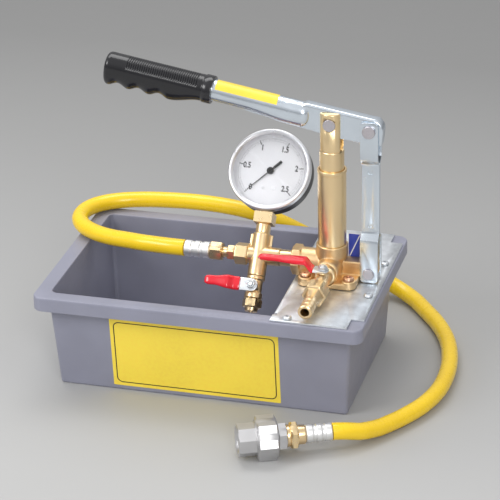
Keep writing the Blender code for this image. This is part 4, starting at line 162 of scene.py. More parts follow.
# Turned pieces: place, finish, segments, open bore, twist, and the section's rows.
TURNED = {
    "suction_pipe": ("column", "machined_brass", 24, True, 0, (
        (10.2, 12), (10.2, 110.9), (BORE, 110.9), (BORE, 12))),
    "suction_strainer": ("column", "grey_plastic", 32, False, 0, (
        (18.4, 7.3), (18.4, 27.2), (10.8, 27.2), (10.8, 29), (22, 29), (22, 5.5))),
    "barrel": ("column", "polished_brass", 96, True, 0, (
        (27.8, 131.3), (27.8, 217), (28.8, 217.6), (28.8, 220.4), (27.6, 221), (25.4, 221),
        (24.8, 220.4), (24.8, 131.3))),
    "plunger_pin": ("plunger_pin", "pin_steel", 40, False, 0, pin_section(10.7, 12.5)),
    "link_pin": ("link_pin", "pin_steel", 40, False, 0, pin_section(9.8, 11)),
    "fulcrum_pin": ("fulcrum_pin", "pin_steel", 40, False, 0, pin_section(9.8, 12.8)),
    "delivery_nipple": ("level", "machined_brass", 48, True, 0, (
        (THREAD, 13.5), (THREAD, 22), (16.4, 22), (16.4, 33.9), (12.9, 33.9), (12.9, 46.4),
        (BORE, 46.4), (BORE, 13.5))),
    "gauge_stem": ("stack", "machined_brass", 48, False, pi / 4, (
        (THREAD, 13.5), (THREAD, 22), (14.5, 22), (14.5, 30.7), (18.5, 31.9, 4), (18.5, 42.9, 4),
        (8, 42.9), (8, 60))),
    "gauge_case": ("face", "black_case", 128, False, 0, (
        (79, -9.9), (79, 4.7), (82, 4.7), (82, -9.9), (79, -11.4))),
    "gauge_bezel": ("face", "gauge_steel", 160, True, 0, (
        (83.5, 5), (83.5, 12.4), (81.1, 13.6), (77.5, 13.6), (73, 11.7), (78.6, 11.7), (78.6, 9.1),
        (80.8, 9.1), (80.8, 5))),
    "gauge_glass": ("face", "gauge_glass", 128, False, 0, ((78, 9.4), (78, 11.4))),
    "gauge_dial": ("face", "dial_white", 128, True, 0, (
        (80.2, 5), (80.2, 6), (2.4, 6), (2.4, 5))),
    "drain_end_nut": ("down", "machined_brass", 48, True, 0, (
        (9.6, 38.2), (9.6, 44.5), *hexed(17, 44.5, 53.5), (13.3, 53.5), (12.5, 57.3),
        (5.5, 57.3), (5.5, 38.2))),
    "drain_valve_stem": ("drain", "zinc_plate", 32, False, 0, ((5, 5.1), (5, 18.6), (4.2, 19.4))),
    "drain_valve_nut": ("drain", "zinc_plate", 36, True, 0, nut_section(15)),
    "hose_barb": ("forward", "machined_brass", 72, True, 0, (
        (9.6, 44.2), (9.6, 60.3), *hexed(21, 60.3, 77)[:3], (17.3, 77, 6), *barbed(88),
        (8.5, 112), (8.5, 60.3), (6, 60.3), (6, 44.2))),
    "outlet_valve_stem": ("outlet", "zinc_plate", 32, False, 0, ((5, 5.1), (5, 15), (4.2, 15.8))),
    "outlet_valve_nut": ("outlet", "zinc_plate", 36, True, 0, nut_section(11.4)),
    "hose_adapter": ("left", "machined_brass", 48, True, 0, (
        (THREAD, 15.8), (THREAD, 24.3), *hexed(13.5, 24.3, 32.1), (10.5, 32.1), (10.5, 41.9),
        (SMALL_BORE, 41.9), (SMALL_BORE, 15.8))),
    "hose_nut": ("left", "machined_brass", 48, True, 0, (
        *hexed(17, 37.4, 49.8), (8.5, 49.8), (8.5, 75.8), (SMALL_BORE, 75.8),
        (SMALL_BORE, 42.2), (11.1, 42.2), (11.1, 37.4))),
    "hose_ferrule_pump": ("left", "white_ferrule", 64, True, 0, crimped(16.5, 50.1, 76.6)),
    "hose_ferrule_end": ("union", "white_ferrule", 64, True, 0, crimped(17.5, -26, -0.3)),
    "end_nipple": ("union", "machined_brass", 72, True, 0, (
        (8.5, -24.5), (8.5, 0), (18, 0), (18.6, 0.6), (18.6, 6.6), (18, 7.3),
        *hexed(25, 7.3, 14.3, 6, 1.4), (20.4, 14.3), (21, 14.9), (21, 17.6), (14.5, 17.6),
        (14.5, 27), (SMALL_BORE, 27), (SMALL_BORE, -24.5))),
    "union_tail": ("union", "stainless_steel", 72, True, 0, (
        *hexed(24.4, 17.9, 26.5)[:3], (21.4, 26.5), (21.4, 33.5), (31.5, 33.5), (31.5, 38.5),
        (12.5, 38.5), (12.5, 27.3), (15.1, 27.3), (15.1, 17.9))),
    "union_nut": ("union", "stainless_steel", 96, True, pi / 6, (
        *hexed(38, 27, 47, 6, 1.5), (33.1, 47), (33.1, 31), (22, 31), (22, 27))),
    "union_head": ("union", "stainless_steel", 96, True, pi / 8, (
        (31.7, 39.5), (32.5, 40.3), (32.5, 47.3), (29.5, 48.1, 8), (29.5, 64, 8), (27.9, 64.8),
        (25, 64.8), (20.5, 62.6), (20.5, 51.8), (12.5, 51.8), (12.5, 39.5))),
}

BASE = "pump_base"
SCREW_PLACES = ((90.7, -100.4), (90.7, 100.4), (155.5, -36.5), (155.5, 36.5))
BOLT_PLACES = ((89.5, -23), (89.5, 23), (132.5, -23), (132.5, 23))
SCREW_SEAT = 105.7
BOLT_SEAT = 114.3

HOSE_ROUTE = (
    (-40.2, 0.0, 119.6), (-44.2, 0.0, 119.6), (-60, 1, 119.3), (-85, 6, 117.6), (-105, 13, 115.4),
    (-125, 20, 113.3), (-144, 29, 112.4), (-160, 41, 112.4), (-169.9, 57, 112.4),
    (-171.8, 74, 112.4), (-167, 89, 112.4), (-157, 101, 112.4), (-142, 110.5, 112.4),
    (-122, 117, 112.6), (-97, 121, 112.8), (-70, 122.7, 113), (-45, 122.5, 112.6),
    (-22, 121.4, 111.3), (-4, 121.2, 108.5), (12, 123.8, 103.5), (26, 129, 96),
    (38, 135.4, 87.3), (49.5, 142.5, 78), (60, 150, 68.3), (70, 157.5, 58.3),
    (80.5, 164.5, 48.2), (92.5, 170.5, 38.2), (105.5, 174.5, 28.5), (120, 175.5, 20.5),
    (136, 173, 14.2), (150.5, 165.5, 10.4), (163.5, 153.5, 9), (175, 138.5, 8.6),
    (198, 104.5, 8.6), (214, 70, 8.6), (223.2, 34, 8.6), (226.5, 0, 8.6), (224.7, -34, 8.6),
    (216, -66, 8.6), (203, -92, 8.7), (193.5, -107.5, 9.1), (183.9, -122.1, 10.2),
    (172.8, -136.3, 13.2), (166.2, -142.4, 15.6), (158.8, -147.7, 17.8), (150.9, -151.9, 19),
    (147.35, -153.51, 19),
)


def size_property(name, words, default, low, high):
    return FloatProperty(name=name, description=words, default=default, min=low, max=high,
                         unit="LENGTH")


class PumpSizes(bpy.types.PropertyGroup):
    """Sizes of the fine pieces that a user may change."""
    hose_diameter: size_property("Hose diameter", "Outside diameter of the hose",
                                 0.0166, 0.012, 0.017)
    casting_voxel: size_property("Casting cell", "Cell size that melts the casting",
                                 0.00055, 0.0004, 0.002)
    fitting_voxel: size_property("Fitting cell", "Cell size that melts the fittings",
                                 0.0004, 0.0003, 0.001)
    rib_pitch: size_property("Grip rib pitch", "Spacing of the ribs on the grip",
                             0.0022, 0.0015, 0.004)
    rib_depth: size_property("Grip rib depth", "Depth of the ribs on the grip", 0.0009, 0, 0.001)
    tick_count: IntProperty(name="Dial divisions", description="Fine divisions on the dial",
                            default=50, min=10, max=100)
    edge_round: size_property("Edge rounding", "Radius on turned edges", 0.00035, 0.0001, 0.001)


def colour_property(name, words, default):
    return FloatVectorProperty(name=name, description=words, subtype="COLOR", size=3,
                               default=default, min=0, max=1)


class PumpColours(bpy.types.PropertyGroup):
    """Colours of the finishes that a user may change."""
    cast_brass: colour_property("Cast brass", "Sand-cast brass", (0.84, 0.60, 0.33))
    bright_brass: colour_property("Bright brass", "Turned and forged brass", (0.92, 0.69, 0.40))
    plated_steel: colour_property("Plated steel", "Lever and link", (0.75, 0.82, 0.89))
    zinc: colour_property("Zinc plate", "Deck plate, screws and handles", (0.72, 0.75, 0.78))
    stainless: colour_property("Stainless", "Union pieces", (0.62, 0.615, 0.62))
    tank_grey: colour_property("Tank grey", "Moulded tank", (0.27, 0.275, 0.345))
    hose_yellow: colour_property("Hose yellow", "Hose skin", (0.98, 0.65, 0.014))
    sleeve_red: colour_property("Sleeve red", "Dipped handle sleeves", (0.84, 0.012, 0.03))
    grip_black: colour_property("Grip black", "Hand grip", (0.012, 0.012, 0.014))
    label_yellow: colour_property("Label yellow", "Bare labels", (0.96, 0.70, 0.07))
    label_blue: colour_property("Label blue", "Small bare label", (0.03, 0.06, 0.42))
    floor: colour_property("Floor", "Studio floor", (0.47, 0.47, 0.465))


def sizes():
    return bpy.context.scene.pump_sizes


def colours():
    return bpy.context.scene.pump_colours


# Shader groups and the finishes that use them

def node(tree, kind, inputs=(), **settings):
    """Add a node, set its fields, and link or set the inputs given by name or number."""
    made = tree.nodes.new(kind)
    for field, value in settings.items():
        setattr(made, field, value)
    for key, value in dict(inputs).items():
        if isinstance(value, bpy.types.NodeSocket):
            tree.links.new(value, made.inputs[key])
        else:
            made.inputs[key].default_value = value
    return made


def math(tree, operation, one, other=0.5):
    return node(tree, "ShaderNodeMath", {0: one, 1: other}, operation=operation).outputs[0]


def times(tree, one, other):
    return math(tree, "MULTIPLY", one, other)


def scale_to(tree, value, low, high, new_low, new_high):
    """Map a value from one range to another and keep it inside."""
    return node(tree, "ShaderNodeMapRange", {"Value": value, "From Min": low, "From Max": high,
                                             "To Min": new_low, "To Max": new_high},
                clamp=True).outputs["Result"]


def noise(tree, vector, scale, detail=3.0, rough=0.5):
    return node(tree, "ShaderNodeTexNoise", {"Vector": vector, "Scale": scale, "Detail": detail,
                                             "Roughness": rough}).outputs["Fac"]


def object_point(tree):
    return node(tree, "ShaderNodeTexCoord").outputs["Object"]


def axis_part(tree, vector, axis):
    return node(tree, "ShaderNodeSeparateXYZ", {0: vector}).outputs[axis]


def fill_grain(tree, given):
    """Fine bumps of two sizes with scattered pits, as on sand-cast metal or moulded plastic."""
    scale = math(tree, "DIVIDE", 1.0, given["Size"])
    point = object_point(tree)
    fine = noise(tree, point, scale, 2.0)
    coarse = noise(tree, point, times(tree, scale, 0.3), 2.0)
    cells = node(tree, "ShaderNodeTexVoronoi",
                 {"Vector": point, "Scale": times(tree, scale, 0.45)}).outputs["Distance"]
    pit = times(tree, scale_to(tree, cells, 0.05, 0.3, 1.0, 0.0), given["Pits"])
    both = math(tree, "ADD", times(tree, fine, 0.65), times(tree, coarse, 0.35))
    return [math(tree, "SUBTRACT", both, pit)]


def fill_lines(tree, given):
    """Fine lines left by turning, brushing or drawing, in the piece's own turned place."""
    local = node(tree, "ShaderNodeAttribute", attribute_name="local_place").outputs["Vector"]
    stretched = node(tree, "ShaderNodeVectorMath", {0: local, 1: given["Line Size"]},
                     operation="DIVIDE").outputs["Vector"]
    wide = node(tree, "ShaderNodeVectorMath", {0: stretched, 1: (0.2, 0.2, 0.2)},
                operation="MULTIPLY").outputs["Vector"]
    return noise(tree, stretched, 1.0, 1.0), noise(tree, wide, 1.0, 2.0)


def fill_wear_and_painted_light(tree, given):
    """Convex edges, broken up, for worn metal edges and painted highlights on plastic, and the
    crevices, for painted shade.
    """
    sharp = node(tree, "ShaderNodeNewGeometry").outputs["Pointiness"]
    broken = noise(tree, object_point(tree), given["Break Up"])
    edge = scale_to(tree, sharp, 0.51, math(tree, "ADD", 0.5, given["Reach"]), 0.0, 1.0)
    crevice = scale_to(tree, sharp, 0.49, math(tree, "SUBTRACT", 0.5, given["Reach"]), 0.0, 1.0)
    return times(tree, edge, scale_to(tree, broken, 0.35, 0.6, 0.35, 1.0)), crevice


def fill_marks(tree, given):
    """Slow change over a surface, for handling marks, stains and uneven gloss."""
    scale = math(tree, "DIVIDE", 1.0, given["Size"])
    point = object_point(tree)
    return noise(tree, point, scale, 2.0), noise(tree, point, times(tree, scale, 4.0), 5.0, 0.7)


def fill_dust(tree, given):
    """A thin, patchy settling of dust on faces that look up."""
    up = axis_part(tree, node(tree, "ShaderNodeNewGeometry").outputs["Normal"], "Z")
    patchy = noise(tree, object_point(tree), 160.0, 6.0, 0.7)
    fall = times(tree, scale_to(tree, up, 0.5, 1.0, 0.0, 1.0),
                 scale_to(tree, patchy, 0.4, 0.7, 0.2, 1.0))
    return [times(tree, fall, given["Amount"])]


SHADER_GROUPS = {
    "Surface Grain": (fill_grain, {"Size": 0.001, "Pits": 0.3}, ("Height",)),
    "Tool Lines": (fill_lines, {"Line Size": (0.02, 0.02, 0.0003)}, ("Height", "Mask")),
    "Edge Wear": (fill_wear_and_painted_light, {"Reach": 0.06, "Break Up": 600.0}, ("Edge", "Crevice")),
    "Handling Marks": (fill_marks, {"Size": 0.03}, ("Mask", "Smear")),
    "Settled Dust": (fill_dust, {"Amount": 0.1}, ("Mask",)),
}


def shader_group(name):
    """The shader group of this name, filled when it is first asked for."""
    found = bpy.data.node_groups.get(name)
    if found:
        return found
    fill, inputs, outputs = SHADER_GROUPS[name]
    tree = bpy.data.node_groups.new(name, "ShaderNodeTree")
    for label, value in inputs.items():
        kind = "NodeSocketVector" if isinstance(value, tuple) else "NodeSocketFloat"
        tree.interface.new_socket(label, in_out="INPUT", socket_type=kind).default_value = value
    for label in outputs:
        tree.interface.new_socket(label, in_out="OUTPUT", socket_type="NodeSocketFloat")
    filled = fill(tree, node(tree, "NodeGroupInput").outputs)
    node(tree, "NodeGroupOutput", dict(zip(outputs, filled)))
    return tree


def use(tree, group, inputs=()):
    """The outputs of a shader group in this tree, with these input values."""
    return node(tree, "ShaderNodeGroup", node_tree=shader_group(group), inputs=inputs).outputs


def mixed(tree, share, one, other):
    """Mix two colours by a mask."""
    made = node(tree, "ShaderNodeMix", {"Factor": share}, data_type="RGBA")
    for socket, value in (("A", one), ("B", other)):
        slot = [s for s in made.inputs if s.name == socket and s.type == "RGBA"][0]
        if isinstance(value, bpy.types.NodeSocket):
            tree.links.new(value, slot)
        else:
            slot.default_value = (*value, 1.0)
    return [s for s in made.outputs if s.type == "RGBA"][0]


def shade(colour, factor):
    return tuple(min(max(channel * factor, 0.0), 1.0) for channel in colour)


def blank(name, metallic, **plain):
    """A new material with its Principled shader, whose even values are set on its sockets."""
    made = bpy.data.materials.new(name)
    made.use_nodes = True
    shader = made.node_tree.nodes["Principled BSDF"]
    shader.inputs["Metallic"].default_value = metallic
    for key, value in plain.items():
        shader.inputs[key.replace("_", " ")].default_value = value
    return made, made.node_tree, shader


def bump(tree, shader, height, distance, strength, under=None):
    """Feed a bump to the shader, over another bump where one is given."""
    inputs = {"Height": height, "Distance": distance, "Strength": strength}
    if under:
        inputs["Normal"] = under
    made = node(tree, "ShaderNodeBump", inputs).outputs["Normal"]
    tree.links.new(made, shader.inputs["Normal"])
    return made


def feed(tree, shader, **values):
    for key, value in values.items():
        tree.links.new(value, shader.inputs[key.replace("_", " ")])


# The part of each noise that is used: slow marks between two tones, and smears of gloss.
MARK_SPAN = (0.35, 0.65)
SMEAR_SPAN = (0.3, 0.7)


def metal(name, colour, rough, grain=None, lines=None, wear=0.5, shade_tone=0.75, marks=0.03,
          crevice_shade=0.6, vary=(0.95, 1.04), tint=1.0):
    """A metal: base colour with painted shade in crevices and grain pits, bright worn edges, grain
    or tool lines, smears.
    """
    made, tree, shader = blank(name, 1.0)
    edges = use(tree, "Edge Wear")
    blotches = use(tree, "Handling Marks", {"Size": marks})
    colour = shade(colour, tint)
    base = mixed(tree, scale_to(tree, blotches["Mask"], *MARK_SPAN, 0.0, 1.0),
                 shade(colour, vary[0]), shade(colour, vary[1]))
    # Painted shade: the crevices are darkened toward the shaded tone.
    base = mixed(tree, times(tree, edges["Crevice"], crevice_shade), base, shade(colour, shade_tone))
    base = mixed(tree, times(tree, edges["Edge"], wear), base, shade(colour, 1.3))
    gloss = scale_to(tree, blotches["Smear"], *SMEAR_SPAN, *rough)
    under = None
    if grain:
        size, depth, pits = grain
        height = use(tree, "Surface Grain", {"Size": size, "Pits": pits})["Height"]
        under = bump(tree, shader, height, depth, 0.8)
        # Painted shade: the grain's low points are darkened toward the shaded tone.
        base = mixed(tree, scale_to(tree, height, 0.25, 0.6, 0.35, 0.0), base,
                     shade(colour, shade_tone))
    if lines:
        size, depth, strength = lines
        found = use(tree, "Tool Lines", {"Line Size": size})
        bump(tree, shader, found["Height"], depth, strength, under)
        gloss = math(tree, "ADD", gloss,
                     scale_to(tree, found["Mask"], *SMEAR_SPAN, -0.01, 0.015))
    feed(tree, shader, Base_Color=base, Roughness=gloss)
    return made


def plastic(name, colour, rough, grain, dust=0.0, lift=1.15, coat=0.0, specular=0.5):
    """A moulded or dipped plastic: fine grain, uneven gloss, a painted highlight on convex edges,
    and dust.
    """
    made, tree, shader = blank(name, 0.0, Coat_Weight=coat, Coat_Roughness=0.08,
                               Specular_IOR_Level=specular)
    edges = use(tree, "Edge Wear", {"Break Up": 300.0})
    blotches = use(tree, "Handling Marks", {"Size": 0.05})
    size, depth, pits = grain
    height = use(tree, "Surface Grain", {"Size": size, "Pits": pits})["Height"]
    base = mixed(tree, scale_to(tree, blotches["Mask"], *MARK_SPAN, 0.0, 1.0),
                 shade(colour, 0.95), shade(colour, 1.05))
    # Painted highlight: convex edges are made paler by the lift factor.
    base = mixed(tree, times(tree, edges["Edge"], 0.5), base, shade(colour, lift))
    if dust:
        settled = use(tree, "Settled Dust", {"Amount": dust})
        base = mixed(tree, settled["Mask"], base, (0.55, 0.53, 0.50))
    bump(tree, shader, height, depth, 0.6)
    feed(tree, shader, Base_Color=base,
         Roughness=scale_to(tree, blotches["Smear"], *SMEAR_SPAN, *rough))
    return made


def clear_glass(name, colour, rough):
    """A clear window that lets the lamps through."""
    made, tree, shader = blank(name, 0.0, Transmission_Weight=1.0, IOR=1.45, Alpha=0.3)
    blotches = use(tree, "Handling Marks", {"Size": 0.02})
    feed(tree, shader, Roughness=scale_to(tree, blotches["Smear"], 0.4, 0.8, *rough))
    shader.inputs["Base Color"].default_value = (*colour, 1.0)
    return made


# Each finish: the record's slot, its maker, its colour or the name of a user's colour, the range
# of its roughness, and what else differs. Grain is a size, a depth and the share of its pits, and
# lines are a size along each axis, a depth and a strength.
FINISHES = {
    "cast_brass": ("cast_brass", metal, "cast_brass", (0.37, 0.48), dict(
        grain=(0.0007, 0.0002, 0.3), wear=0.6, shade_tone=0.72)),
    "forged_brass": ("cast_brass", metal, "bright_brass", (0.28, 0.38), dict(
        grain=(0.0009, 0.00004, 0.1), shade_tone=0.78)),
    "machined_brass": ("machined_brass", metal, "bright_brass", (0.26, 0.31), dict(
        lines=((0.03, 0.03, 0.0012), 0.00001, 0.2), wear=0.2, crevice_shade=0.3)),
    "polished_brass": ("machined_brass", metal, "bright_brass", (0.29, 0.32), dict(
        lines=((0.05, 0.05, 0.0015), 0.000004, 0.2), wear=0.2, marks=0.05, crevice_shade=0.2, tint=1.08)),
    "coppered_steel": ("coppered_steel", metal, (0.70, 0.42, 0.27), (0.25, 0.36), dict(
        grain=(0.0006, 0.00004, 0.1))),
    "zinc_plate": ("zinc_plate", metal, "zinc", (0.36, 0.48), dict(
        grain=(0.0012, 0.00003, 0.1), marks=0.02)),
    "deck_zinc": ("zinc_plate", metal, "zinc", (0.40, 0.53), dict(
        grain=(0.0012, 0.00004, 0.1), wear=0.15, marks=0.012, crevice_shade=0.2, vary=(0.88, 1.1),
        tint=1.05)),
    "pin_steel": ("zinc_plate", metal, (0.60, 0.57, 0.60), (0.28, 0.38), dict(
        lines=((0.02, 0.02, 0.001), 0.00001, 0.2))),
    "pressed_steel": ("pressed_steel", metal, "plated_steel", (0.22, 0.27), dict(
        lines=((0.06, 0.004, 0.004), 0.000006, 0.2), wear=0.08, marks=0.05, crevice_shade=0.1)),
    "stainless_steel": ("stainless_steel", metal, "stainless", (0.38, 0.44), dict(
        lines=((0.02, 0.02, 0.0015), 0.000004, 0.2), wear=0.1, shade_tone=0.7, crevice_shade=0.15)),
    "gauge_steel": ("stainless_steel", metal, (0.92, 0.92, 0.95), (0.26, 0.34), dict(
        lines=((0.03, 0.03, 0.0012), 0.000004, 0.2), wear=0.2, crevice_shade=0.2)),
    "white_ferrule": ("white_ferrule", metal, (0.92, 0.92, 0.91), (0.42, 0.52), dict(
        grain=(0.0010, 0.00004, 0.15))),
    # In the plastics, lift sets the painted highlight on convex edges.
    "grey_plastic": ("grey_plastic", plastic, "tank_grey", (0.36, 0.48), dict(
        grain=(0.0006, 0.00004, 0.2), dust=0.05, lift=1.5)),
    "black_grip": ("black_grip", plastic, "grip_black", (0.15, 0.22), dict(
        grain=(0.0009, 0.00002, 0.1), lift=3.0, coat=0.1)),
    "black_case": ("black_case", plastic, (0.015, 0.015, 0.016), (0.3, 0.4), dict(
        grain=(0.0008, 0.00003, 0.1), dust=0.03, lift=2.0)),
    "pointer_black": ("black_case", plastic, (0.012, 0.012, 0.012), (0.4, 0.5), dict(
        grain=(0.0008, 0.00001, 0.1))),
    "red_sleeve": ("red_sleeve", plastic, "sleeve_red", (0.16, 0.24), dict(
        grain=(0.0014, 0.00003, 0.1), lift=1.2, coat=0.4)),
    "yellow_hose": ("yellow_hose", plastic, "hose_yellow", (0.24, 0.32), dict(
        grain=(0.0016, 0.00001, 0.05), dust=0.01, lift=1.02, coat=0.2)),
    "dial_white": ("dial_white", plastic, (0.80, 0.80, 0.83), (0.5, 0.6), dict(
        grain=(0.0008, 0.00001, 0.05))),
    "dial_ink": ("dial_white", plastic, (0.008, 0.008, 0.01), (0.5, 0.6), dict(
        grain=(0.0008, 0.00001, 0.05), specular=0.1)),
    "label_yellow": ("grey_plastic", plastic, "label_yellow", (0.3, 0.4), dict(
        grain=(0.0015, 0.00002, 0.05))),
    "label_ink": ("grey_plastic", plastic, (0.02, 0.018, 0.012), (0.4, 0.5), dict(
        grain=(0.0015, 0.00001, 0.05))),
    "label_blue": ("grey_plastic", plastic, "label_blue", (0.3, 0.4), dict(
        grain=(0.0015, 0.00002, 0.05))),
    "label_white": ("grey_plastic", plastic, (0.75, 0.76, 0.8), (0.3, 0.4), dict(
        grain=(0.0015, 0.00002, 0.05))),
    "seal_rubber": ("seal_rubber", plastic, (0.02, 0.02, 0.02), (0.5, 0.65), dict(
        grain=(0.0008, 0.00004, 0.1))),
    "gauge_glass": ("gauge_glass", clear_glass, (0.97, 0.98, 0.98), (0.0, 0.025), {}),
}


def finish(name):
    """The material of this finish, made when it is first asked for."""
    label = "pump_" + name
    found = bpy.data.materials.get(label)
    if found:
        return found
    maker, colour, rough, rest = FINISHES[name][1:]
    if isinstance(colour, str):
        colour = getattr(colours(), colour)
    return maker(label, colour, rough, **rest)


# Ways to make a mesh and to finish a piece

CORNER_STEPS = 8


def ring(size, height, flats=0, count=48, twist=0.0):
    """Points round local Z, in metres: a circle, or a polygon this wide across its flats."""
    points = []
    for step in range(count):
        turn = 2 * pi * step / count
        radius = size / 2
        if flats:
            sector = 2 * pi / flats
            radius /= cos(turn % sector - sector / 2)
        points.append(Vector((radius * cos(turn + twist), radius * sin(turn + twist), height)))
    return points


def curve_through(start, corner, end, steps):
    """Points on a curve from start to end that is drawn toward the corner."""
    points = []
    for step in range(steps + 1):
        share = step / steps
        points.append(start * (1 - share) ** 2 + corner * 2 * share * (1 - share)
                      + end * share ** 2)
    return points


def eased(rows, radius, closed):
    """Round a section's corners by a small radius, where the flats on both sides agree."""
    out = []
    count = len(rows)
    for index, row in enumerate(rows):
        before, after = rows[index - 1], rows[(index + 1) % count]
        corner = Vector((row[0] / 2, row[1]))
        back = Vector((before[0] / 2, before[1])) - corner
        ahead = Vector((after[0] / 2, after[1])) - corner
        at_end = not closed and index in (0, count - 1)
        flats_differ = not tuple(before[2:]) == tuple(row[2:]) == tuple(after[2:])
        if at_end or flats_differ or back.normalized().dot(ahead.normalized()) < -0.97:
            out.append(tuple(row))
            continue
        reach = min(radius, back.length * 0.4, ahead.length * 0.4)
        for point in curve_through(corner + back.normalized() * reach, corner,
                                   corner + ahead.normalized() * reach, 3):
            out.append((point.x * 2, point.y, *row[2:]))
    return out


def skin(rings, pierced=False):
    """Skin rings of equal count into a closed bmesh."""
    mesh = bmesh.new()
    rows = [[mesh.verts.new(point) for point in points] for points in rings]
    if pierced:
        rows.append(rows[0])
    for row, following in zip(rows, rows[1:]):
        for index in range(len(row)):
            after = (index + 1) % len(row)
            mesh.faces.new((row[index], row[after], following[after], following[index]))
    if not pierced:
        mesh.faces.new(rows[0])
        mesh.faces.new(rows[-1])
    return mesh


def turned(rows, count=48, pierced=False, twist=0.0, radius=None):
    """A turned solid from rows in millimetres."""
    rows = [(row[0] * MM, row[1] * MM, *row[2:]) for row in rows]
    radius = sizes().edge_round if radius is None else radius
    return skin([ring(*row[:2], row[2] if len(row) > 2 else 0, count, twist)
                 for row in eased(rows, radius, pierced)], pierced)


def raised(outline, *heights):
    """A flat outline skinned from one height to the next, in metres."""
    return skin([[Vector((point[0], point[1], height)) for point in outline]
                 for height in heights])


def in_metres(points):
    return [(x * MM, y * MM) for x, y in points]


def rounded_rectangle(length, width, corner, height=0):
    """A ring of points round a rectangle with rounded corners, in metres."""
    points = []
    for quarter, (side_x, side_y) in enumerate(((1, 1), (-1, 1), (-1, -1), (1, -1))):
        centre_x = side_x * (length / 2 - corner)
        centre_y = side_y * (width / 2 - corner)
        for step in range(CORNER_STEPS + 1):
            angle = pi / 2 * (quarter + step / CORNER_STEPS)
            points.append(Vector((centre_x + corner * cos(angle), centre_y + corner * sin(angle),
                                  height)))
    return points


def linked(name, data):
    """A new object in the scene."""
    made = bpy.data.objects.new(name, data)
    bpy.context.scene.collection.objects.link(made)
    return made


def mesh_data(name, mesh):
    """Mesh data from a bmesh, which is freed."""
    data = bpy.data.meshes.new(name)
    mesh.to_mesh(data)
    mesh.free()
    return data


def loose_object(name, mesh, place=Matrix.Identity(4)):
    """An object from a bmesh, put in place in its mesh, for use by a modifier."""
    bmesh.ops.recalc_face_normals(mesh, faces=mesh.faces)
    data = mesh_data(name, mesh)
    data.transform(place)
    return linked(name, data)


def cutter(name, rows, count, place):
    """A turned solid that cuts a bore, from rows in millimetres."""
    return loose_object(name, turned(rows, count), place)


def solid_mesh(made, *helpers):
    """The object's mesh with its modifiers applied; the object and its helpers are removed."""
    bpy.context.view_layer.update()
    graph = bpy.context.evaluated_depsgraph_get()
    data = bpy.data.meshes.new_from_object(made.evaluated_get(graph))
    for old in (made, *helpers):
        bpy.data.objects.remove(old)
    return data


def settle(name, data, look, body=BASE, stands_for=(), place=Matrix.Identity(4), smooth=32):
    """Finish a piece: keep its own place as an attribute, name its material, and let it ride."""
    if isinstance(data, bmesh.types.BMesh):
        bmesh.ops.recalc_face_normals(data, faces=data.faces)
        data = mesh_data(name, data)
        data.transform(place)
    data.name = name
    data.shade_smooth()
    data.set_sharp_from_angle(angle=radians(smooth))
    back = place.inverted()
    local = data.attributes.new("local_place", "FLOAT_VECTOR", "POINT")
    values = [0.0] * (3 * len(data.vertices))
    for index, vert in enumerate(data.vertices):
        values[3 * index:3 * index + 3] = back @ vert.co
    local.data.foreach_set("vector", values)
    data.materials.clear()
    data.materials.append(finish(look))
    for face in data.polygons:
        face.material_index = 0
    piece = linked(name, data)
    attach(piece, body)
    if stands_for:
        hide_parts(*stands_for)
    return piece


def machined(made, others, operation="DIFFERENCE"):
    """Cut other objects from an object, or join them to it, with exact Booleans."""
    for other in others:
        change = made.modifiers.new(other.name, "BOOLEAN")
        change.operation = operation
        change.object = other
        change.solver = "EXACT"
    return solid_mesh(made, *others)


def melted(name, solids, cell, rounds):
    """Melt overlapping solids into one skin whose inner corners are filleted, as in a casting."""
    joined = bmesh.new()
    for mesh, place in solids:
        bmesh.ops.recalc_face_normals(mesh, faces=mesh.faces)
        bmesh.ops.transform(mesh, matrix=place, verts=mesh.verts)
        add_to(joined, mesh)
    made = loose_object(name, joined)
    remesh = made.modifiers.new("Melt", "REMESH")
    remesh.mode = "VOXEL"
    remesh.voxel_size = cell
    soften = made.modifiers.new("Fillet", "SMOOTH")
    soften.factor = 0.5
    soften.iterations = rounds
    return made


def add_to(mesh, other):
    """Add one bmesh to another and free it."""
    data = mesh_data("added", other)
    mesh.from_mesh(data)
    bpy.data.meshes.remove(data)


def editable(data):
    mesh = bmesh.new()
    mesh.from_mesh(data)
    return mesh


def clean_copy(name):
    """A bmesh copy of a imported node, merged and with its flat faces joined again."""
    mesh = editable(frame["nodes"][name].data)
    bmesh.ops.remove_doubles(mesh, verts=mesh.verts, dist=0.00001)
    bmesh.ops.dissolve_limit(mesh, angle_limit=radians(0.5), verts=mesh.verts, edges=mesh.edges)
    return mesh


def bevelled(name, mesh, width, angle=30, segments=2):
    """A mesh with its sharp edges broken by a small bevel."""
    made = loose_object(name, mesh)
    made.data.shade_smooth()
    change = made.modifiers.new("Broken edges", "BEVEL")
    change.width = width
    change.segments = segments
    change.limit_method = "ANGLE"
    change.angle_limit = radians(angle)
    change.harden_normals = True
    change.use_clamp_overlap = True
    return solid_mesh(made)


def turned_piece(node_name):
    """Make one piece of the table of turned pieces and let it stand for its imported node."""
    place, look, count, pierced, twist, rows = TURNED[node_name]
    return settle(node_name + "_fine", turned(rows, count, pierced, twist), look,
                  frame["nodes"][node_name]["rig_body"], (node_name,), PLACES[place])


def turned_pieces(*names):
    return [turned_piece(name) for name in names]


def smooth_share(share):
    """A share from 0 to 1 that starts and ends softly."""
    share = min(max(share, 0.0), 1.0)
    return share * share * (3 - 2 * share)


# The pieces, each made by its own operator

class PumpOperator:
    """What every operator of this file shares."""
    bl_options = {"REGISTER", "UNDO"}


# Each lamp: its name, place, width, height and power. All of them point at the pump's middle.
LAMPS = (("key_lamp", (-1.3, -1.2, 1.4), 1.0, 0.8, 17),
         ("fill_lamp", (0.75, -1.7, 1.0), 0.6, 1.0, 13),
         ("top_lamp", (-0.35, 0.5, 1.7), 1.3, 0.8, 12))
LAMP_AIM = (0, 0, 0.1)
FLOOR_DROP = 0.0002


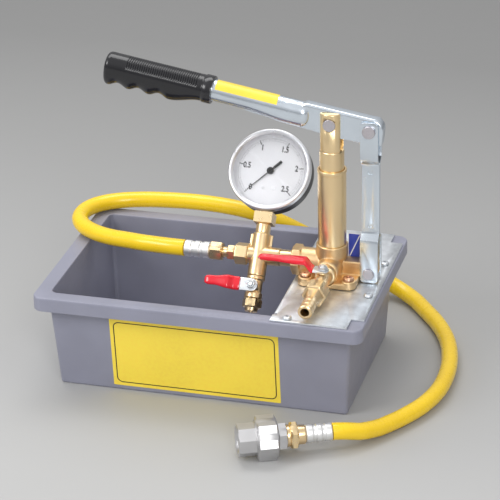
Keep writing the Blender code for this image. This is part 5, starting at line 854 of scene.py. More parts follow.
class PUMP_OT_stage(PumpOperator, bpy.types.Operator):
    """Make the camera, the lamps, the pale floor and the world"""
    bl_idname = "test_pump.stage"
    bl_label = "Stage"

    def execute(self, context):
        context.scene.view_settings.view_transform = "Standard"
        self.camera(context.scene)
        for lamp in LAMPS:
            self.lamp(*lamp)
        self.floor()
        self.world(context.scene)
        return {"FINISHED"}

    def camera(self, scene):
        forward = (Vector(CAMERA_AIM) - Vector(CAMERA_PLACE)).normalized()
        right = forward.cross(Vector((0, 0, 1))).normalized()
        up = right.cross(forward)
        rolled_right = right * cos(CAMERA_ROLL) + up * sin(CAMERA_ROLL)
        rolled_up = up * cos(CAMERA_ROLL) - right * sin(CAMERA_ROLL)
        turn = Matrix((rolled_right, rolled_up, -forward)).transposed().to_4x4()
        lens = bpy.data.cameras.new("pump_camera")
        lens.lens = CAMERA_LENS
        lens.sensor_width = 36.0
        lens.clip_end = 50
        camera = linked("pump_camera", lens)
        camera.matrix_world = Matrix.Translation(CAMERA_PLACE) @ turn
        scene.camera = camera

    def lamp(self, name, at, width, height, power):
        data = bpy.data.lights.new(name, "AREA")
        data.shape = "RECTANGLE"
        data.size = width
        data.size_y = height
        data.energy = power
        made = linked(name, data)
        made.location = at
        made.rotation_mode = "QUATERNION"
        made.rotation_quaternion = (Vector(LAMP_AIM) - Vector(at)).to_track_quat("-Z", "Y")

    def floor(self):
        """A wide floor with faint marks and painted shade that darkens it toward the back."""
        mesh = bmesh.new()
        bmesh.ops.create_grid(mesh, x_segments=8, y_segments=8, size=6.0)
        data = mesh_data("studio_floor", mesh)
        made, tree, shader = blank("pump_floor", 0.0, Specular_IOR_Level=0.15)
        blotches = use(tree, "Handling Marks", {"Size": 0.6})
        paint = colours().floor
        tone = mixed(tree, blotches["Mask"], shade(paint, 0.98), shade(paint, 1.02))
        # Painted shade: the floor's colour darkens toward the back, where less light falls.
        far = scale_to(tree, axis_part(tree, object_point(tree), "Y"), -0.25, 0.85, 0.0, 1.0)
        feed(tree, shader, Base_Color=mixed(tree, far, tone, shade(paint, 0.6)),
             Roughness=scale_to(tree, blotches["Smear"], *SMEAR_SPAN, 0.55, 0.65))
        data.materials.append(made)
        floor = linked("studio_floor", data)
        floor.location = (0, 0, -FLOOR_DROP)

    def world(self, scene):
        """A soft grey room, paler overhead and darker toward the horizon."""
        world = bpy.data.worlds.new("pump_world")
        world.use_nodes = True
        scene.world = world
        tree = world.node_tree
        direction = node(tree, "ShaderNodeTexCoord").outputs["Generated"]
        height = scale_to(tree, axis_part(tree, direction, "Z"), -0.1, 0.75, 0.0, 1.0)
        background = tree.nodes["Background"]
        tree.links.new(mixed(tree, height, (0.30, 0.30, 0.31), (0.80, 0.80, 0.81)),
                       background.inputs["Color"])
        background.inputs["Strength"].default_value = 0.9


ROUTE_STEPS = 12
HOSE_SPACING = 0.0036


def smooth_route(route, spacing):
    """Evenly spaced points on a smooth curve through a route with short straight ends."""
    dense = []
    for before, start, end, after in zip(route, route[1:], route[2:], route[3:]):
        for step in range(ROUTE_STEPS):
            t = step / ROUTE_STEPS
            dense.append((start * 2 + (end - before) * t
                          + (before * 2 - start * 5 + end * 4 - after) * t * t
                          + (start * 3 - before - end * 3 + after) * t * t * t) / 2)
    dense.append(route[-2])
    reach = [0.0]
    for one, other in zip(dense, dense[1:]):
        reach.append(reach[-1] + (other - one).length)
    count = round(reach[-1] / spacing)
    points = [route[0]]
    index = 0
    for number in range(count + 1):
        target = reach[-1] * number / count
        while index < len(reach) - 2 and reach[index + 1] < target:
            index += 1
        share = (target - reach[index]) / (reach[index + 1] - reach[index])
        points.append(dense[index].lerp(dense[index + 1], share))
    return [*points, route[-1]]


def tube(points, diameter, count=40):
    """Skin a round tube along points, without twisting."""
    rings = []
    side = Vector((0, 0, 1))
    for index, point in enumerate(points):
        ahead = points[min(index + 1, len(points) - 1)] - points[max(index - 1, 0)]
        ahead.normalize()
        side = (side - ahead * side.dot(ahead)).normalized()
        other = ahead.cross(side)
        rings.append([point + (side * cos(turn) + other * sin(turn)) * diameter / 2
                      for turn in (2 * pi * step / count for step in range(count))])
    return skin(rings)


class PUMP_OT_hose(PumpOperator, bpy.types.Operator):
    """Make the hose, its two crimped ferrules and the union on its far end"""
    bl_idname = "test_pump.hose"
    bl_label = "Hose and Union"

    def execute(self, context):
        points = smooth_route([Vector(point) * MM for point in HOSE_ROUTE], HOSE_SPACING)
        hose = settle("hose_skin", tube(points, sizes().hose_diameter), "yellow_hose",
                      stands_for=("hose",), smooth=60)
        far = turned_pieces("hose_ferrule_end", "end_nipple", "union_tail", "union_nut",
                            "union_head")
        near = turned_piece("hose_ferrule_pump")
        return {"FINISHED"}


# Rounded rectangles from the underside up the outside, over the rim and down the inside: length,
# width, corner radius and height in millimetres.
TANK_ROWS = (
    (281.5, 163, 4, 3), (287.5, 169, 4, 6), (298.6, 187.6, 4, 102.3), (299.8, 188.8, 7.5, 103.5),
    (328.8, 217.8, 10.5, 103.5), (330, 219, 10.5, 102.3), (330, 219, 10.5, 89),
    (324, 213, 7.5, 89), (324, 213, 7.5, 100.5), (304.6, 193.6, 4.5, 100.5),
    (293, 174.1, 3.2, 1.5), (290.4, 171.5, 2.2, 0))
TANK_EDGE = 1.1
WALL_SLOPE = atan2(9.3, 94.5)
LABEL_PLACE = placed((-0.0052, -0.0912, 0.0437), (pi / 2 + WALL_SLOPE, 0, 0))
LABEL_SIZE = (0.1705, 0.0775)


class PUMP_OT_tank(PumpOperator, bpy.types.Operator):
    """Make the moulded tank and its bare label"""
    bl_idname = "test_pump.tank"
    bl_label = "Tank"

    def execute(self, context):
        tank = loose_object("tank_blank", skin([rounded_rectangle(*[value * MM for value in row])
                                                for row in self.eased_rows()]))
        holes = [cutter(f"rim_hole_{index}", ((4.6, 95), (4.6, 110)), 24,
                        placed((x * MM, y * MM, 0)))
                 for index, (x, y) in enumerate(SCREW_PLACES)]
        settle("tank_moulding", machined(tank, holes), "grey_plastic", stands_for=("tank",),
               smooth=40)
        self.front_label()
        return {"FINISHED"}

    def eased_rows(self):
        """The tank's rows with their edges rounded."""
        out = [TANK_ROWS[0]]
        for rows in zip(TANK_ROWS, TANK_ROWS[1:], TANK_ROWS[2:]):
            before, corner, after = (Vector(row) for row in rows)
            back, ahead = before - corner, after - corner
            start = corner + back * min(TANK_EDGE / back.length, 0.42)
            end = corner + ahead * min(TANK_EDGE / ahead.length, 0.42)
            out += [tuple(point) for point in curve_through(start, corner, end, 4)]
        return [*out, TANK_ROWS[-1]]

    def front_label(self):
        """A bare yellow label with a plain dark line, flat on the front wall."""
        length, width = LABEL_SIZE
        settle("front_label", raised(rounded_rectangle(length, width, 0.001), -0.0002, 0.00015),
               "label_yellow", place=LABEL_PLACE)
        low, high = 0.0001, 0.00025
        rings = [rounded_rectangle(length - 2 * inset, width - 2 * inset, corner, height)
                 for inset, corner, height in ((0.0036, 0.006, low), (0.0036, 0.006, high),
                                               (0.0046, 0.005, high), (0.0046, 0.005, low))]
        settle("front_label_line", skin(rings, pierced=True), "label_ink", place=LABEL_PLACE)


def nodes_tree(name, inputs):
    """A new Geometry Nodes tree with these inputs and one geometry output."""
    tree = bpy.data.node_groups.new(name, "GeometryNodeTree")
    for label, kind in inputs.items():
        tree.interface.new_socket(label, in_out="INPUT", socket_type="NodeSocket" + kind)
    tree.interface.new_socket("Geometry", in_out="OUTPUT", socket_type="NodeSocketGeometry")
    return tree, node(tree, "NodeGroupInput").outputs


def put_copies(tree, points, piece, turn, look):
    """Put a turned copy on every point, make the copies real and give them their material."""
    angle = node(tree, "ShaderNodeCombineXYZ", {"Z": turn}).outputs[0]
    copies = node(tree, "GeometryNodeInstanceOnPoints", {
        "Points": points, "Instance": piece, "Rotation": angle}).outputs[0]
    real = node(tree, "GeometryNodeRealizeInstances", {0: copies}).outputs[0]
    dressed = node(tree, "GeometryNodeSetMaterial", {"Geometry": real, "Material": look})
    node(tree, "NodeGroupOutput", {"Geometry": dressed.outputs[0]})


def copies_tree():
    """Geometry Nodes that place one piece on every point, each turned its own way."""
    name = "Pieces on Points"
    if name in bpy.data.node_groups:
        return bpy.data.node_groups[name]
    tree, given = nodes_tree(name, {"Geometry": "Geometry", "Piece": "Object",
                                    "Finish": "Material", "Turn Spread": "Float", "Seed": "Int"})
    piece = node(tree, "GeometryNodeObjectInfo", {"Object": given["Piece"]}).outputs["Geometry"]
    least = times(tree, given["Turn Spread"], -1.0)
    spin = node(tree, "FunctionNodeRandomValue",
                {"Seed": given["Seed"], 2: least, 3: given["Turn Spread"]}, data_type="FLOAT")
    put_copies(tree, given["Geometry"], piece, spin.outputs[1], given["Finish"])
    return tree


def grown(made, tree, values):
    """The object with a Geometry Nodes tree as its modifier, set to these input values."""
    change = made.modifiers.new("Copies", "NODES")
    change.node_group = tree
    for item in tree.interface.items_tree:
        if item.item_type == "SOCKET" and item.in_out == "INPUT" and item.name in values:
            change[item.identifier] = values[item.name]
    return made


def on_points(name, points, mesh, look, seed):
    """One mesh with a piece on each point, each turned a little its own way."""
    piece = loose_object(name + "_piece", mesh)
    data = bpy.data.meshes.new(name)
    data.from_pydata([tuple(point) for point in points], [], [])
    return solid_mesh(grown(linked(name, data), copies_tree(), {
        "Piece": piece, "Finish": finish(look), "Turn Spread": pi, "Seed": seed}), piece)


def pan_head(shank, length, head, height):
    """A domed head with a four-armed recess, above its shank."""
    rows = ((shank, -length), (shank, 0), (head, 0), (head, height * 0.45),
            (head * 0.9, height * 0.8), (head * 0.6, height), (head * 0.2, height))
    blank_piece = loose_object("pan_head", turned(rows, 40, radius=0.0003))
    half, arm, depth = head * 0.26 * MM, head * 0.075 * MM, head * 0.16 * MM
    outline = ((half, arm), (arm, arm), (arm, half), (-arm, half), (-arm, arm), (-half, arm),
               (-half, -arm), (-arm, -arm), (-arm, -half), (arm, -half), (arm, -arm), (half, -arm))
    top = height * MM
    rings = [[Vector((x * 0.6, y * 0.6, top - depth)) for x, y in outline],
             [Vector((x, y, top + 0.001)) for x, y in outline]]
    return editable(machined(blank_piece, [loose_object("recess", skin(rings))]))


class PUMP_OT_deck(PumpOperator, bpy.types.Operator):
    """Make the deck plate, its screws, the foot bolts and the small label behind the barrel"""
    bl_idname = "test_pump.deck"
    bl_label = "Deck and Fasteners"

    def execute(self, context):
        settle("deck_sheet", bevelled("deck_sheet", clean_copy("deck_plate"), 0.0003), "deck_zinc",
               stands_for=("deck_plate",), smooth=180)
        self.fasteners("deck_screw", SCREW_PLACES, SCREW_SEAT, (4, 9, 9, 2.6), "zinc_plate", 3)
        self.fasteners("foot_bolt", BOLT_PLACES, BOLT_SEAT, (6, 15, 11, 3.2), "coppered_steel", 8)
        self.small_label()
        return {"FINISHED"}

    def fasteners(self, name, places, seat, size, look, seed):
        """Four heads on their seats, which stand for the four packed ones."""
        points = [Vector((x, y, seat)) * MM for x, y in places]
        settle(name + "s", on_points(name + "s", points, pan_head(*size), look, seed), look,
               stands_for=[f"{name}_{number}" for number in (1, 2, 3, 4)])

    def small_label(self):
        """A bare blue tag with a pale rim and one plain line, upright behind the cast lug."""
        place = placed((0.1318, 0.0072, 0.133), (pi / 2, 0, 0))
        width, height = 0.0128, 0.034
        settle("tag_plate", raised(rounded_rectangle(width, height, 0.0008), -0.0004, 0),
               "label_white", place=place)
        field = [(point.x, point.y + 0.004)
                 for point in rounded_rectangle(width - 0.0012, 0.0248, 0.0004)]
        settle("tag_field", raised(field, -0.0001, 0.0001), "label_blue", place=place)
        low, high, half = Vector((-0.0049, -0.0075)), Vector((0.0053, 0.0158)), 0.0006
        line = [(low.x - half, low.y), (low.x + half, low.y), (high.x + half, high.y),
                (high.x - half, high.y)]
        settle("tag_line", raised(line, 0.00005, 0.0002), "label_white", place=place)


# The lug that carries the link: half its thickness, in metres, and how far its round end's
# centre stands out and that end's radius, in millimetres.
LUG_HALF = 0.0069
LUG_REACH = 38.5
LUG_ROUND = 7.8


class PUMP_OT_casting(PumpOperator, bpy.types.Operator):
    """Make the cast pump body with its arm, front port, lug and bored chamber"""
    bl_idname = "test_pump.casting"
    bl_label = "Cast Body"

    def execute(self, context):
        column, arm, forward = (PLACES[name] for name in ("column", "arm", "forward"))
        foot = [(58, 61, 7.5, 105.7), (58, 61, 7.5, 110.5), (56.8, 59.8, 7.5, 111.7)]
        solids = [(skin([rounded_rectangle(*[v * MM for v in row]) for row in foot]), column)]
        solids += [(turned(((14.7, 109), (14.7, 113.4), (12.8, 114)), 40),
                    placed((x * MM, y * MM, 0))) for x, y in BOLT_PLACES]
        solids += [
            (turned(((29.8, 109.2), (27.2, 112.9), (27, 124), (31.4, 129), (31.4, 140.8),
                     (30, 141.5)), 72), column),
            (turned(((25.8, 0), (26.2, 30), (27, 31.2, 6), (27, 38.8, 6), (25.8, 40)), 72,
                    twist=pi / 6), arm),
            (turned(((23.5, 0), (23.5, 23.5), (20.5, 25)), 56), forward),
            (raised(self.lug(), -LUG_HALF, LUG_HALF),
             placed((PUMP_X, 0, LINK_PIN_Z), (pi / 2, 0, 0)))]
        body = melted("pump_casting", solids, sizes().casting_voxel, 5)
        cutters = [
            cutter("chamber", ((10.8, 100), (10.8, 111.2), (6.5, 111.2), (6.5, 114.5), (11, 114.5),
                               (11, 123.5), (18, 123.5), (18, 131), (28.4, 131), (28.4, 145)),
                   72, column),
            cutter("delivery_bore", ((7, 0), (7, 13), (12, 13), (12, 27.5), (13.5, 27.5),
                                     (13.5, 43)), 40, arm),
            cutter("front_bore", ((8, 0), (8, 15.5), (11.6, 15.5), (11.6, 30)), 40, forward),
            cutter("valve_relief", ((22.4, 25), (22.4, 40)), 48, forward)]
        settle("pump_casting", machined(body, cutters), "cast_brass", stands_for=("pump_body",),
               smooth=50)
        return {"FINISHED"}

    def lug(self):
        """The side of the lug that carries the link's pin, with its rounded end."""
        turns = [-pi / 2 + pi * step / 16 for step in range(17)]
        return in_metres([(0, 10), (0, -4.9),
                          *[(LUG_REACH + LUG_ROUND * cos(turn), LUG_ROUND * sin(turn))
                            for turn in turns],
                          (LUG_REACH - LUG_ROUND, 10)])


FORK_HALF = 0.0067


class PUMP_OT_barrel(PumpOperator, bpy.types.Operator):
    """Make the barrel, the forked plunger, its pin and the suction pipe with its strainer"""
    bl_idname = "test_pump.barrel"
    bl_label = "Barrel and Plunger"

    def execute(self, context):
        turned_pieces("barrel", "suction_pipe", "suction_strainer")
        pin = PLUNGER_PIN_Z / MM
        rows = [(22.4, 153), (24, 153.8)]
        for groove in (158, 170):
            rows += [(24, groove), (18.5, groove), (18.5, groove + 4), (24, groove + 4)]
        rows += [(24, pin - 29.7), (22.6, pin - 28.9), (24, pin - 28.1), (24, pin + 10),
                 (22.2, pin + 11)]
        blank_piece = loose_object("plunger_blank", turned(rows, 96), PLACES["column"])
        slot = [(-0.03, -FORK_HALF), (0.03, -FORK_HALF), (0.03, FORK_HALF), (-0.03, FORK_HALF)]
        across = PLACES["plunger_pin"]
        cutters = [loose_object("fork_slot", raised(slot, -0.0289, 0.02),
                                placed((PUMP_X, 0, PLUNGER_PIN_Z))),
                   cutter("pin_hole", ((8.8, -30), (8.8, 30)), 40, across),
                   cutter("spot_front", ((13.3, 10.4), (13.3, 30)), 48, across),
                   cutter("spot_rear", ((13.3, -30), (13.3, -10.4)), 48, across)]
        mesh = editable(machined(blank_piece, cutters))
        settle("plunger_fork", bevelled("plunger_fork", mesh, 0.00025, angle=40), "polished_brass",
               "plunger_rod", ("plunger",), smooth=180)
        turned_piece("plunger_pin")
        return {"FINISHED"}


class PUMP_OT_link(PumpOperator, bpy.types.Operator):
    """Make the two joggled straps of the link and their pins"""
    bl_idname = "test_pump.link"
    bl_label = "Link"

    def execute(self, context):
        place = placed((LINK_X, 0, LINK_PIN_Z), (0, pi / 2, 0))
        for name in ("link_front_strap", "link_rear_strap"):
            data = bevelled(name + "_fine", clean_copy(name), 0.0004, angle=25, segments=3)
            settle(name + "_fine", data, "pressed_steel", "link", (name,), place, smooth=180)
        turned_pieces("link_pin", "fulcrum_pin")
        return {"FINISHED"}


# The pressed lever, in millimetres along it from the fulcrum and across it.
TUBE_RADIUS = 10.65
TUBE_START, TUBE_END = 68, 258
TUBE_SLOPE = radians(3.7)
CHANNEL_HALF = 6.4
KEEL_HALF = 1.5
LEVER_WALL = 1.3
NOSE_REACH = 12.8
NOSE_ROUND = 10.4
GRIP_START = 157.5
BELOW_ALL = -30.0


def tube_rise(along):
    """Height of the lever tube's axis over the line through the fulcrum, in millimetres."""
    return 4.6 + (along - 78) * tan(TUBE_SLOPE)


def lever_ring(along, half, top, bottom, round_top, round_bottom):
    """A section across the lever, rounded by one radius above and one below, in millimetres."""
    points = []
    for quarter, (side, up) in enumerate(((1, 1), (-1, 1), (-1, -1), (1, -1))):
        edge, radius = (top, round_top) if up > 0 else (bottom, round_bottom)
        for step in range(CORNER_STEPS + 1):
            angle = pi / 2 * (quarter + step / CORNER_STEPS)
            points.append(Vector((along, side * (half - radius) + radius * cos(angle),
                                  edge - up * radius + radius * sin(angle))) * MM)
    return points


def tube_ring(along, radius, shrink=1.0):
    """A section of the tube, which grows deeper than round toward the pressed channel."""
    small = radius * shrink
    rise = tube_rise(along)
    low = rise - small - 4.2 * smooth_share((125 - along) / 45) * shrink
    return lever_ring(along, small, rise + small, low, small * 0.98, small * 0.98)


def tube_sections(wall, end):
    """Round sections from the grip to a blunt end where the tube meets the pressed channel."""
    radius = TUBE_RADIUS - wall
    rings = [tube_ring(along, radius)
             for along in (end, 220, 180, 150, 130, 120, 110, 102, 95, 88, 80, 72, TUBE_START)]
    for step in range(1, 11):
        turn = pi / 2 * step / 10 * 0.98
        rings.append(tube_ring(TUBE_START - (10 - wall) * sin(turn), radius, cos(turn)))
    return rings


def channel_top(along):
    """The channel's crest, which falls toward the nose and dies into the tube's crown."""
    crest = 12.0 + 0.057 * along
    inside = tube_rise(along) + TUBE_RADIUS - 2.6
    return crest + (inside - crest) * smooth_share((along - 63) / 11)


def lower_edge(along):
    """The lower edge of the channel and of the keel that runs from it below the tube."""
    edge = -9.6 - 4.0 * smooth_share((72 - along) / 46) + 0.08 * max(0.0, along - 72)
    inside = tube_rise(along) - TUBE_RADIUS + 1.5
    return edge + (inside - edge) * smooth_share((along - 118) / 20)


def channel_sections(wall):
    """Sections of the folded channel, from inside the tube to the rounded nose."""
    half = CHANNEL_HALF - wall
    round_top = 1.6 if wall else 2.8
    round_low = 0.3
    rings = []
    for along in (76, 74, 72, 70, 68, 66, 64, 62, 58, 53, 47, 40, 33, 26, 18, 10, 2):
        if wall and along > 70:
            continue
        low = BELOW_ALL if wall else lower_edge(along)
        if along > 62:
            low = tube_rise(along) - 4
        rings.append(lever_ring(along, half, channel_top(along) - wall, low, round_top, round_low))
    nose_round = NOSE_ROUND - wall
    for step in range(13):
        turn = pi / 2 * step / 12 * 0.97
        along = -(NOSE_REACH - wall) + nose_round - nose_round * sin(turn)
        crown = channel_top(0) - wall - nose_round * (1 - cos(turn))
        low = BELOW_ALL if wall else lower_edge(0)
        rings.append(lever_ring(along, half, crown, low, min(round_top, half * 0.9), round_low))
    return rings


def crease_sections():
    """A fine groove over the tube's shoulder, which climbs to the channel's crest."""
    rings = []
    reach = TUBE_RADIUS + 0.05
    spins = [2 * pi * number / 10 for number in range(10)]
    for step in range(17):
        along = 97 - 26.5 * step / 16
        turn = radians(47 - 40 * max(0.0, (94 - along) / 23) ** 2.0)
        width = 0.6 * sin(pi * (step + 0.6) / 17.2) ** 0.5
        rise = tube_rise(along)
        rings.append([Vector((along, reach * sin(turn) + width * cos(spin),
                              rise + reach * cos(turn) + width * sin(spin))) * MM
                      for spin in spins])
    return rings


def keel_sections(wall):
    """Sections of the keel where the pressing's two edges draw together below the tube."""
    rings = []
    for along in (140, 132, 124, 115, 105, 95, 86, 79, 72, 66, 60, 56):
        half = KEEL_HALF + (CHANNEL_HALF - 1.56) * smooth_share((100 - along) / 38)
        low = lower_edge(along)
        if wall:
            half = 0.35 + (CHANNEL_HALF - wall - 0.40) * smooth_share((88 - along) / 26)
            low = BELOW_ALL
        rings.append(lever_ring(along, half, tube_rise(along) - 1, low, 0.3, 0.3))
    return rings


class PUMP_OT_lever(PumpOperator, bpy.types.Operator):
    """Make the pressed lever tube and its bare yellow label"""
    bl_idname = "test_pump.lever"
    bl_label = "Lever"

    def execute(self, context):
        pressing = loose_object("lever_blank", skin(tube_sections(0, TUBE_END)), LEVER)
        for rings in (channel_sections(0), keel_sections(0)):
            part = loose_object("lever_part", skin(rings), LEVER)
            pressing = linked("lever_blank", machined(pressing, [part], "UNION"))
        across = placed(turn=(pi / 2, 0, 0), inside=LEVER)
        cutters = [loose_object(name, skin(rings), LEVER) for name, rings in (
            ("tube_hollow", tube_sections(LEVER_WALL, TUBE_END + 2)),
            ("channel_hollow", channel_sections(LEVER_WALL)),
            ("keel_hollow", keel_sections(LEVER_WALL)), ("crease", crease_sections()))]
        cutters += [cutter("fulcrum_hole", ((8.8, -20), (8.8, 20)), 40, across),
                    loose_object("pin_slot", raised(self.slot(), -0.02, 0.02), across)]
        settle("lever_pressing", machined(pressing, cutters), "pressed_steel", "lever",
               ("lever_arm",), LEVER, smooth=28)
        self.label()
        return {"FINISHED"}

    def slot(self):
        """The short slot that the plunger's pin runs in."""
        outline = []
        for centre, sign in ((43.61, 1), (38.31, -1)):
            for step in range(13):
                angle = -pi / 2 + pi * step / 12
                outline.append(((centre + sign * 4.8 * cos(angle)) * MM,
                                sign * 4.8 * sin(angle) * MM))
        return outline

    def label(self):
        """A bare yellow patch that wraps the top of the tube beside the grip."""
        turns = [radians(-62 + 124 * step / 24) for step in range(25)]
        rings = []
        for step in range(13):
            along = 92 + (154 - 92) * step / 12
            rise = tube_rise(along)
            rings.append([Vector((along, (TUBE_RADIUS + lift) * sin(turn),
                                  rise + (TUBE_RADIUS + lift) * cos(turn))) * MM
                          for lift, row in ((0.02, turns), (0.16, turns[::-1])) for turn in row])
        settle("lever_label", skin(rings), "label_yellow", "lever", (), LEVER)


# The grip, in millimetres along it from the collar's face.
RIBS_START, RIBS_END = 13.2, 87
WAVES_START, WAVE_PITCH = 41.8, 20.9
GRIP_SEGMENTS = 72


class PUMP_OT_grip(PumpOperator, bpy.types.Operator):
    """Make the moulded grip with its ribs, collar and finger waves"""
    bl_idname = "test_pump.grip"
    bl_label = "Grip"

    def execute(self, context):
        place = placed((GRIP_START * MM, 0, tube_rise(GRIP_START) * MM), (0, -TUBE_SLOPE, 0), LEVER)
        rings = [self.ring(along) for along in self.stations()]
        bore = 2 * TUBE_RADIUS + 0.6
        cutters = [cutter("grip_bore", ((bore, -2), (bore, 104.5)), 48,
                          placed(turn=(0, pi / 2, 0), inside=place))]
        settle("grip_moulding", machined(loose_object("grip_blank", skin(rings), place), cutters),
               "black_grip", "lever", ("grip",), place, smooth=55)
        return {"FINISHED"}

    def ring(self, along):
        """A section of the grip at this distance from the collar's face."""
        side, top, bottom = self.section(along)
        points = []
        for step in range(GRIP_SEGMENTS):
            turn = 2 * pi * step / GRIP_SEGMENTS
            up = cos(turn)
            rib = self.rib(along, turn)
            height = up * (top if up > 0 else bottom)
            points.append(Vector((along, (side - rib) * sin(turn), height - rib * up)) * MM)
        return points

    def stations(self):
        """Where the grip's sections stand, close together under the ribs."""
        out = [0, 0.45, 0.9, 4, 8.6, 9.1, 9.5, 10.2, 11, 12]
        along = 13.0
        while along < 88:
            out.append(along)
            along += sizes().rib_pitch / MM / 6
        return [*out, *[88.5 + step for step in range(16)],
                104.5, 105.5, 106.5, 107.3, 107.9, 108.3, 108.5]

    def section(self, along):
        """Reach to the side, up and down at this distance from the collar's face."""
        collar = 1 - smooth_share((along - 8.6) / 0.9)
        collar *= smooth_share((along + 0.9) / 1.8)
        side = 13.3 + 0.9 * collar
        top = 12.6 + 0.9 * collar
        rise = smooth_share((along - 9.5) / (WAVES_START - 9.5))
        wave = 0.0
        if WAVES_START <= along <= WAVES_START + 3 * WAVE_PITCH:
            wave = 2.0 * (1 - cos(2 * pi * (along - WAVES_START) / WAVE_PITCH))
        bottom = 13.3 + (20.6 - 13.3) * rise - wave + 0.9 * collar
        end = max(0.0, (along - 104.5) / 4)
        drop = 1 - sqrt(max(0.0, 1 - end * end))
        return side - 3.4 * drop, top - 3.4 * drop, bottom - 4.5 * drop

    def rib(self, along, turn):
        """Depth of the grooves between the ribs on the grip's upper half."""
        if not RIBS_START < along < RIBS_END:
            return 0.0
        pitch = sizes().rib_pitch / MM
        groove = max(0.0, cos(2 * pi * (along - RIBS_START) / pitch)) ** 0.6
        spread = smooth_share((cos(turn) - 0.25) / 0.3)
        ends = min(smooth_share((along - RIBS_START) / 1.1), smooth_share((RIBS_END - along) / 1.1))
        return sizes().rib_depth / MM * groove * spread * ends


# Height of each lever valve's neck over its bore, in millimetres.
DRAIN_NECK, OUTLET_NECK = 12.6, 9.0


class PUMP_OT_fittings(PumpOperator, bpy.types.Operator):
    """Make the cross, its nipple, the hose adapter, the gauge stem and both valve bodies"""
    bl_idname = "test_pump.fittings"
    bl_label = "Brass Fittings"

    def execute(self, context):
        rib = in_metres([(-11.2, 0), (11.2, 0), (11.2, 20.9), (-11.2, 20.9)])
        solids = [
            (turned(((17.2, -21.7), (18, -20.9), (18, 20.9), (17.2, 21.7)), 56), STACK),
            (turned(((18, 0), (18, 20.9), (17.2, 21.7)), 56),
             placed(turn=(0, pi / 2, 0), inside=STACK)),
            (turned(((17.2, 0), (17.2, 10.6), (19.3, 11.4, 6), (19.3, 23.2, 6), (18.5, 24)), 60),
             placed(turn=(0, -pi / 2, 0), inside=STACK)),
            (raised(rib, -0.0013, 0.0013), placed(turn=(pi / 2, 0, 0), inside=STACK))]
        cross = solid_mesh(melted("cross_forging", solids, sizes().fitting_voxel, 4))
        settle("cross_forging", cross, "forged_brass", stands_for=("cross_fitting",), smooth=50)
        turned_pieces("delivery_nipple", "gauge_stem", "hose_adapter", "hose_nut",
                      "drain_end_nut", "hose_barb")
        self.valve_body("drain_valve", "down", "drain", DRAIN_NECK, (
            (11.2, 13.5), (11.2, 22), (18.3, 22), (18.3, 25.2), (15, 26), (15, 37.9), (17.5, 38.7),
            (17.5, 44.2), (10.2, 44.2), (10.2, 27.9), (6, 27.9), (6, 13.5)))
        self.valve_body("outlet_valve", "forward", "outlet", OUTLET_NECK, (
            (11, 15.8), (11, 25.3), (20, 25.3), (20, 31), (15, 31.8), (15, 50), (17, 51.6),
            (17, 60), (10.2, 60), (10.2, 33.9), (6, 33.9), (6, 15.8)))
        return {"FINISHED"}

    def valve_body(self, name, place, stem_place, neck_top, rows):
        """A melted body on its bore's axis, with a neck for the stem and a room for the ball."""
        across = PLACES[stem_place]
        neck = turned(((12.5, 5.6), (9.5, 7.4), (9.5, neck_top - 0.3), (8.9, neck_top)), 40)
        body = melted(name + "_forging", [(turned(rows, 56, True), PLACES[place]), (neck, across)],
                      sizes().fitting_voxel, 3)
        cutters = [cutter("cavity", ((10.2, -5.1), (10.2, 4.9)), 40, across),
                   cutter("stem_bore", ((5.6, 0), (5.6, neck_top + 2)), 32, across)]
        settle(name + "_forging", machined(body, cutters), "forged_brass",
               stands_for=(name + "_body",), smooth=50)


# What each handle's sleeve follows: the lever's length, width and narrow width, where the sleeve
# starts, and the joggle's height, start and end, all in millimetres.
HANDLES = (("drain_valve", "drain", "drain_handle", DRAIN_NECK, (47, 12.5, 8.5, 12, 4, 17, 24)),
           ("outlet_valve", "outlet", "outlet_handle", OUTLET_NECK, (64.5, 12, 8, 9.5, 8, 10, 18)))
SLEEVE_STEPS, SLEEVE_SEGMENTS = 40, 36
SLEEVE_THICK = 5.8


class PUMP_OT_handles(PumpOperator, bpy.types.Operator):
    """Make both valve handles with their dipped red sleeves, stems and nuts"""
    bl_idname = "test_pump.handles"
    bl_label = "Valve Handles"

    def execute(self, context):
        for handle in HANDLES:
            self.handle(*handle)
        return {"FINISHED"}

    def handle(self, prefix, place, body, neck_top, size):
        turned_pieces(prefix + "_stem", prefix + "_nut")
        data = bevelled(prefix + "_plate", clean_copy(prefix + "_lever"), 0.0002, angle=40)
        settle(prefix + "_plate", data, "zinc_plate", body, (prefix + "_lever",), PLACES[place],
               smooth=180)
        rings = [self.sleeve_ring(step / SLEEVE_STEPS, neck_top + 0.3 + 0.9, *size)
                 for step in range(SLEEVE_STEPS + 1)]
        settle(prefix + "_sleeve_fine", skin(rings), "red_sleeve", body, (prefix + "_sleeve",),
               PLACES[place], smooth=60)

    def sleeve_ring(self, share, middle, length, width, tongue, start, joggle, joggle_start,
                    joggle_end):
        """A section of the sleeve at this share of its length, round its mouth to its blunt tip."""
        slim = tongue + 1.0
        full = max(width, slim) + 1.2
        along = start + (length - start) * share
        lift = joggle * smooth_share((along - joggle_start) / (joggle_end - joggle_start))
        ease = smooth_share((share - 0.3) / 0.4)
        wide = full + (slim - full) * ease
        end = max(0.0, (along - (length - 5)) / 5)
        tip = sqrt(max(0.02, 1 - end * end))
        mouth = 1 - 0.12 * (1 - smooth_share((along - start) / 1.2))
        high = SLEEVE_THICK * (1 - 0.14 * ease) * tip * mouth
        across = (wide - 0.62 * wide * (1 - tip)) * mouth
        points = []
        for turn in (2 * pi * number / SLEEVE_SEGMENTS for number in range(SLEEVE_SEGMENTS)):
            y = abs(cos(turn)) ** 0.55 * (1 if cos(turn) > 0 else -1) * across / 2
            z = abs(sin(turn)) ** 0.75 * (1 if sin(turn) > 0 else -1) * high / 2
            points.append(Vector((along, y, z + middle + lift)) * MM)
        return points


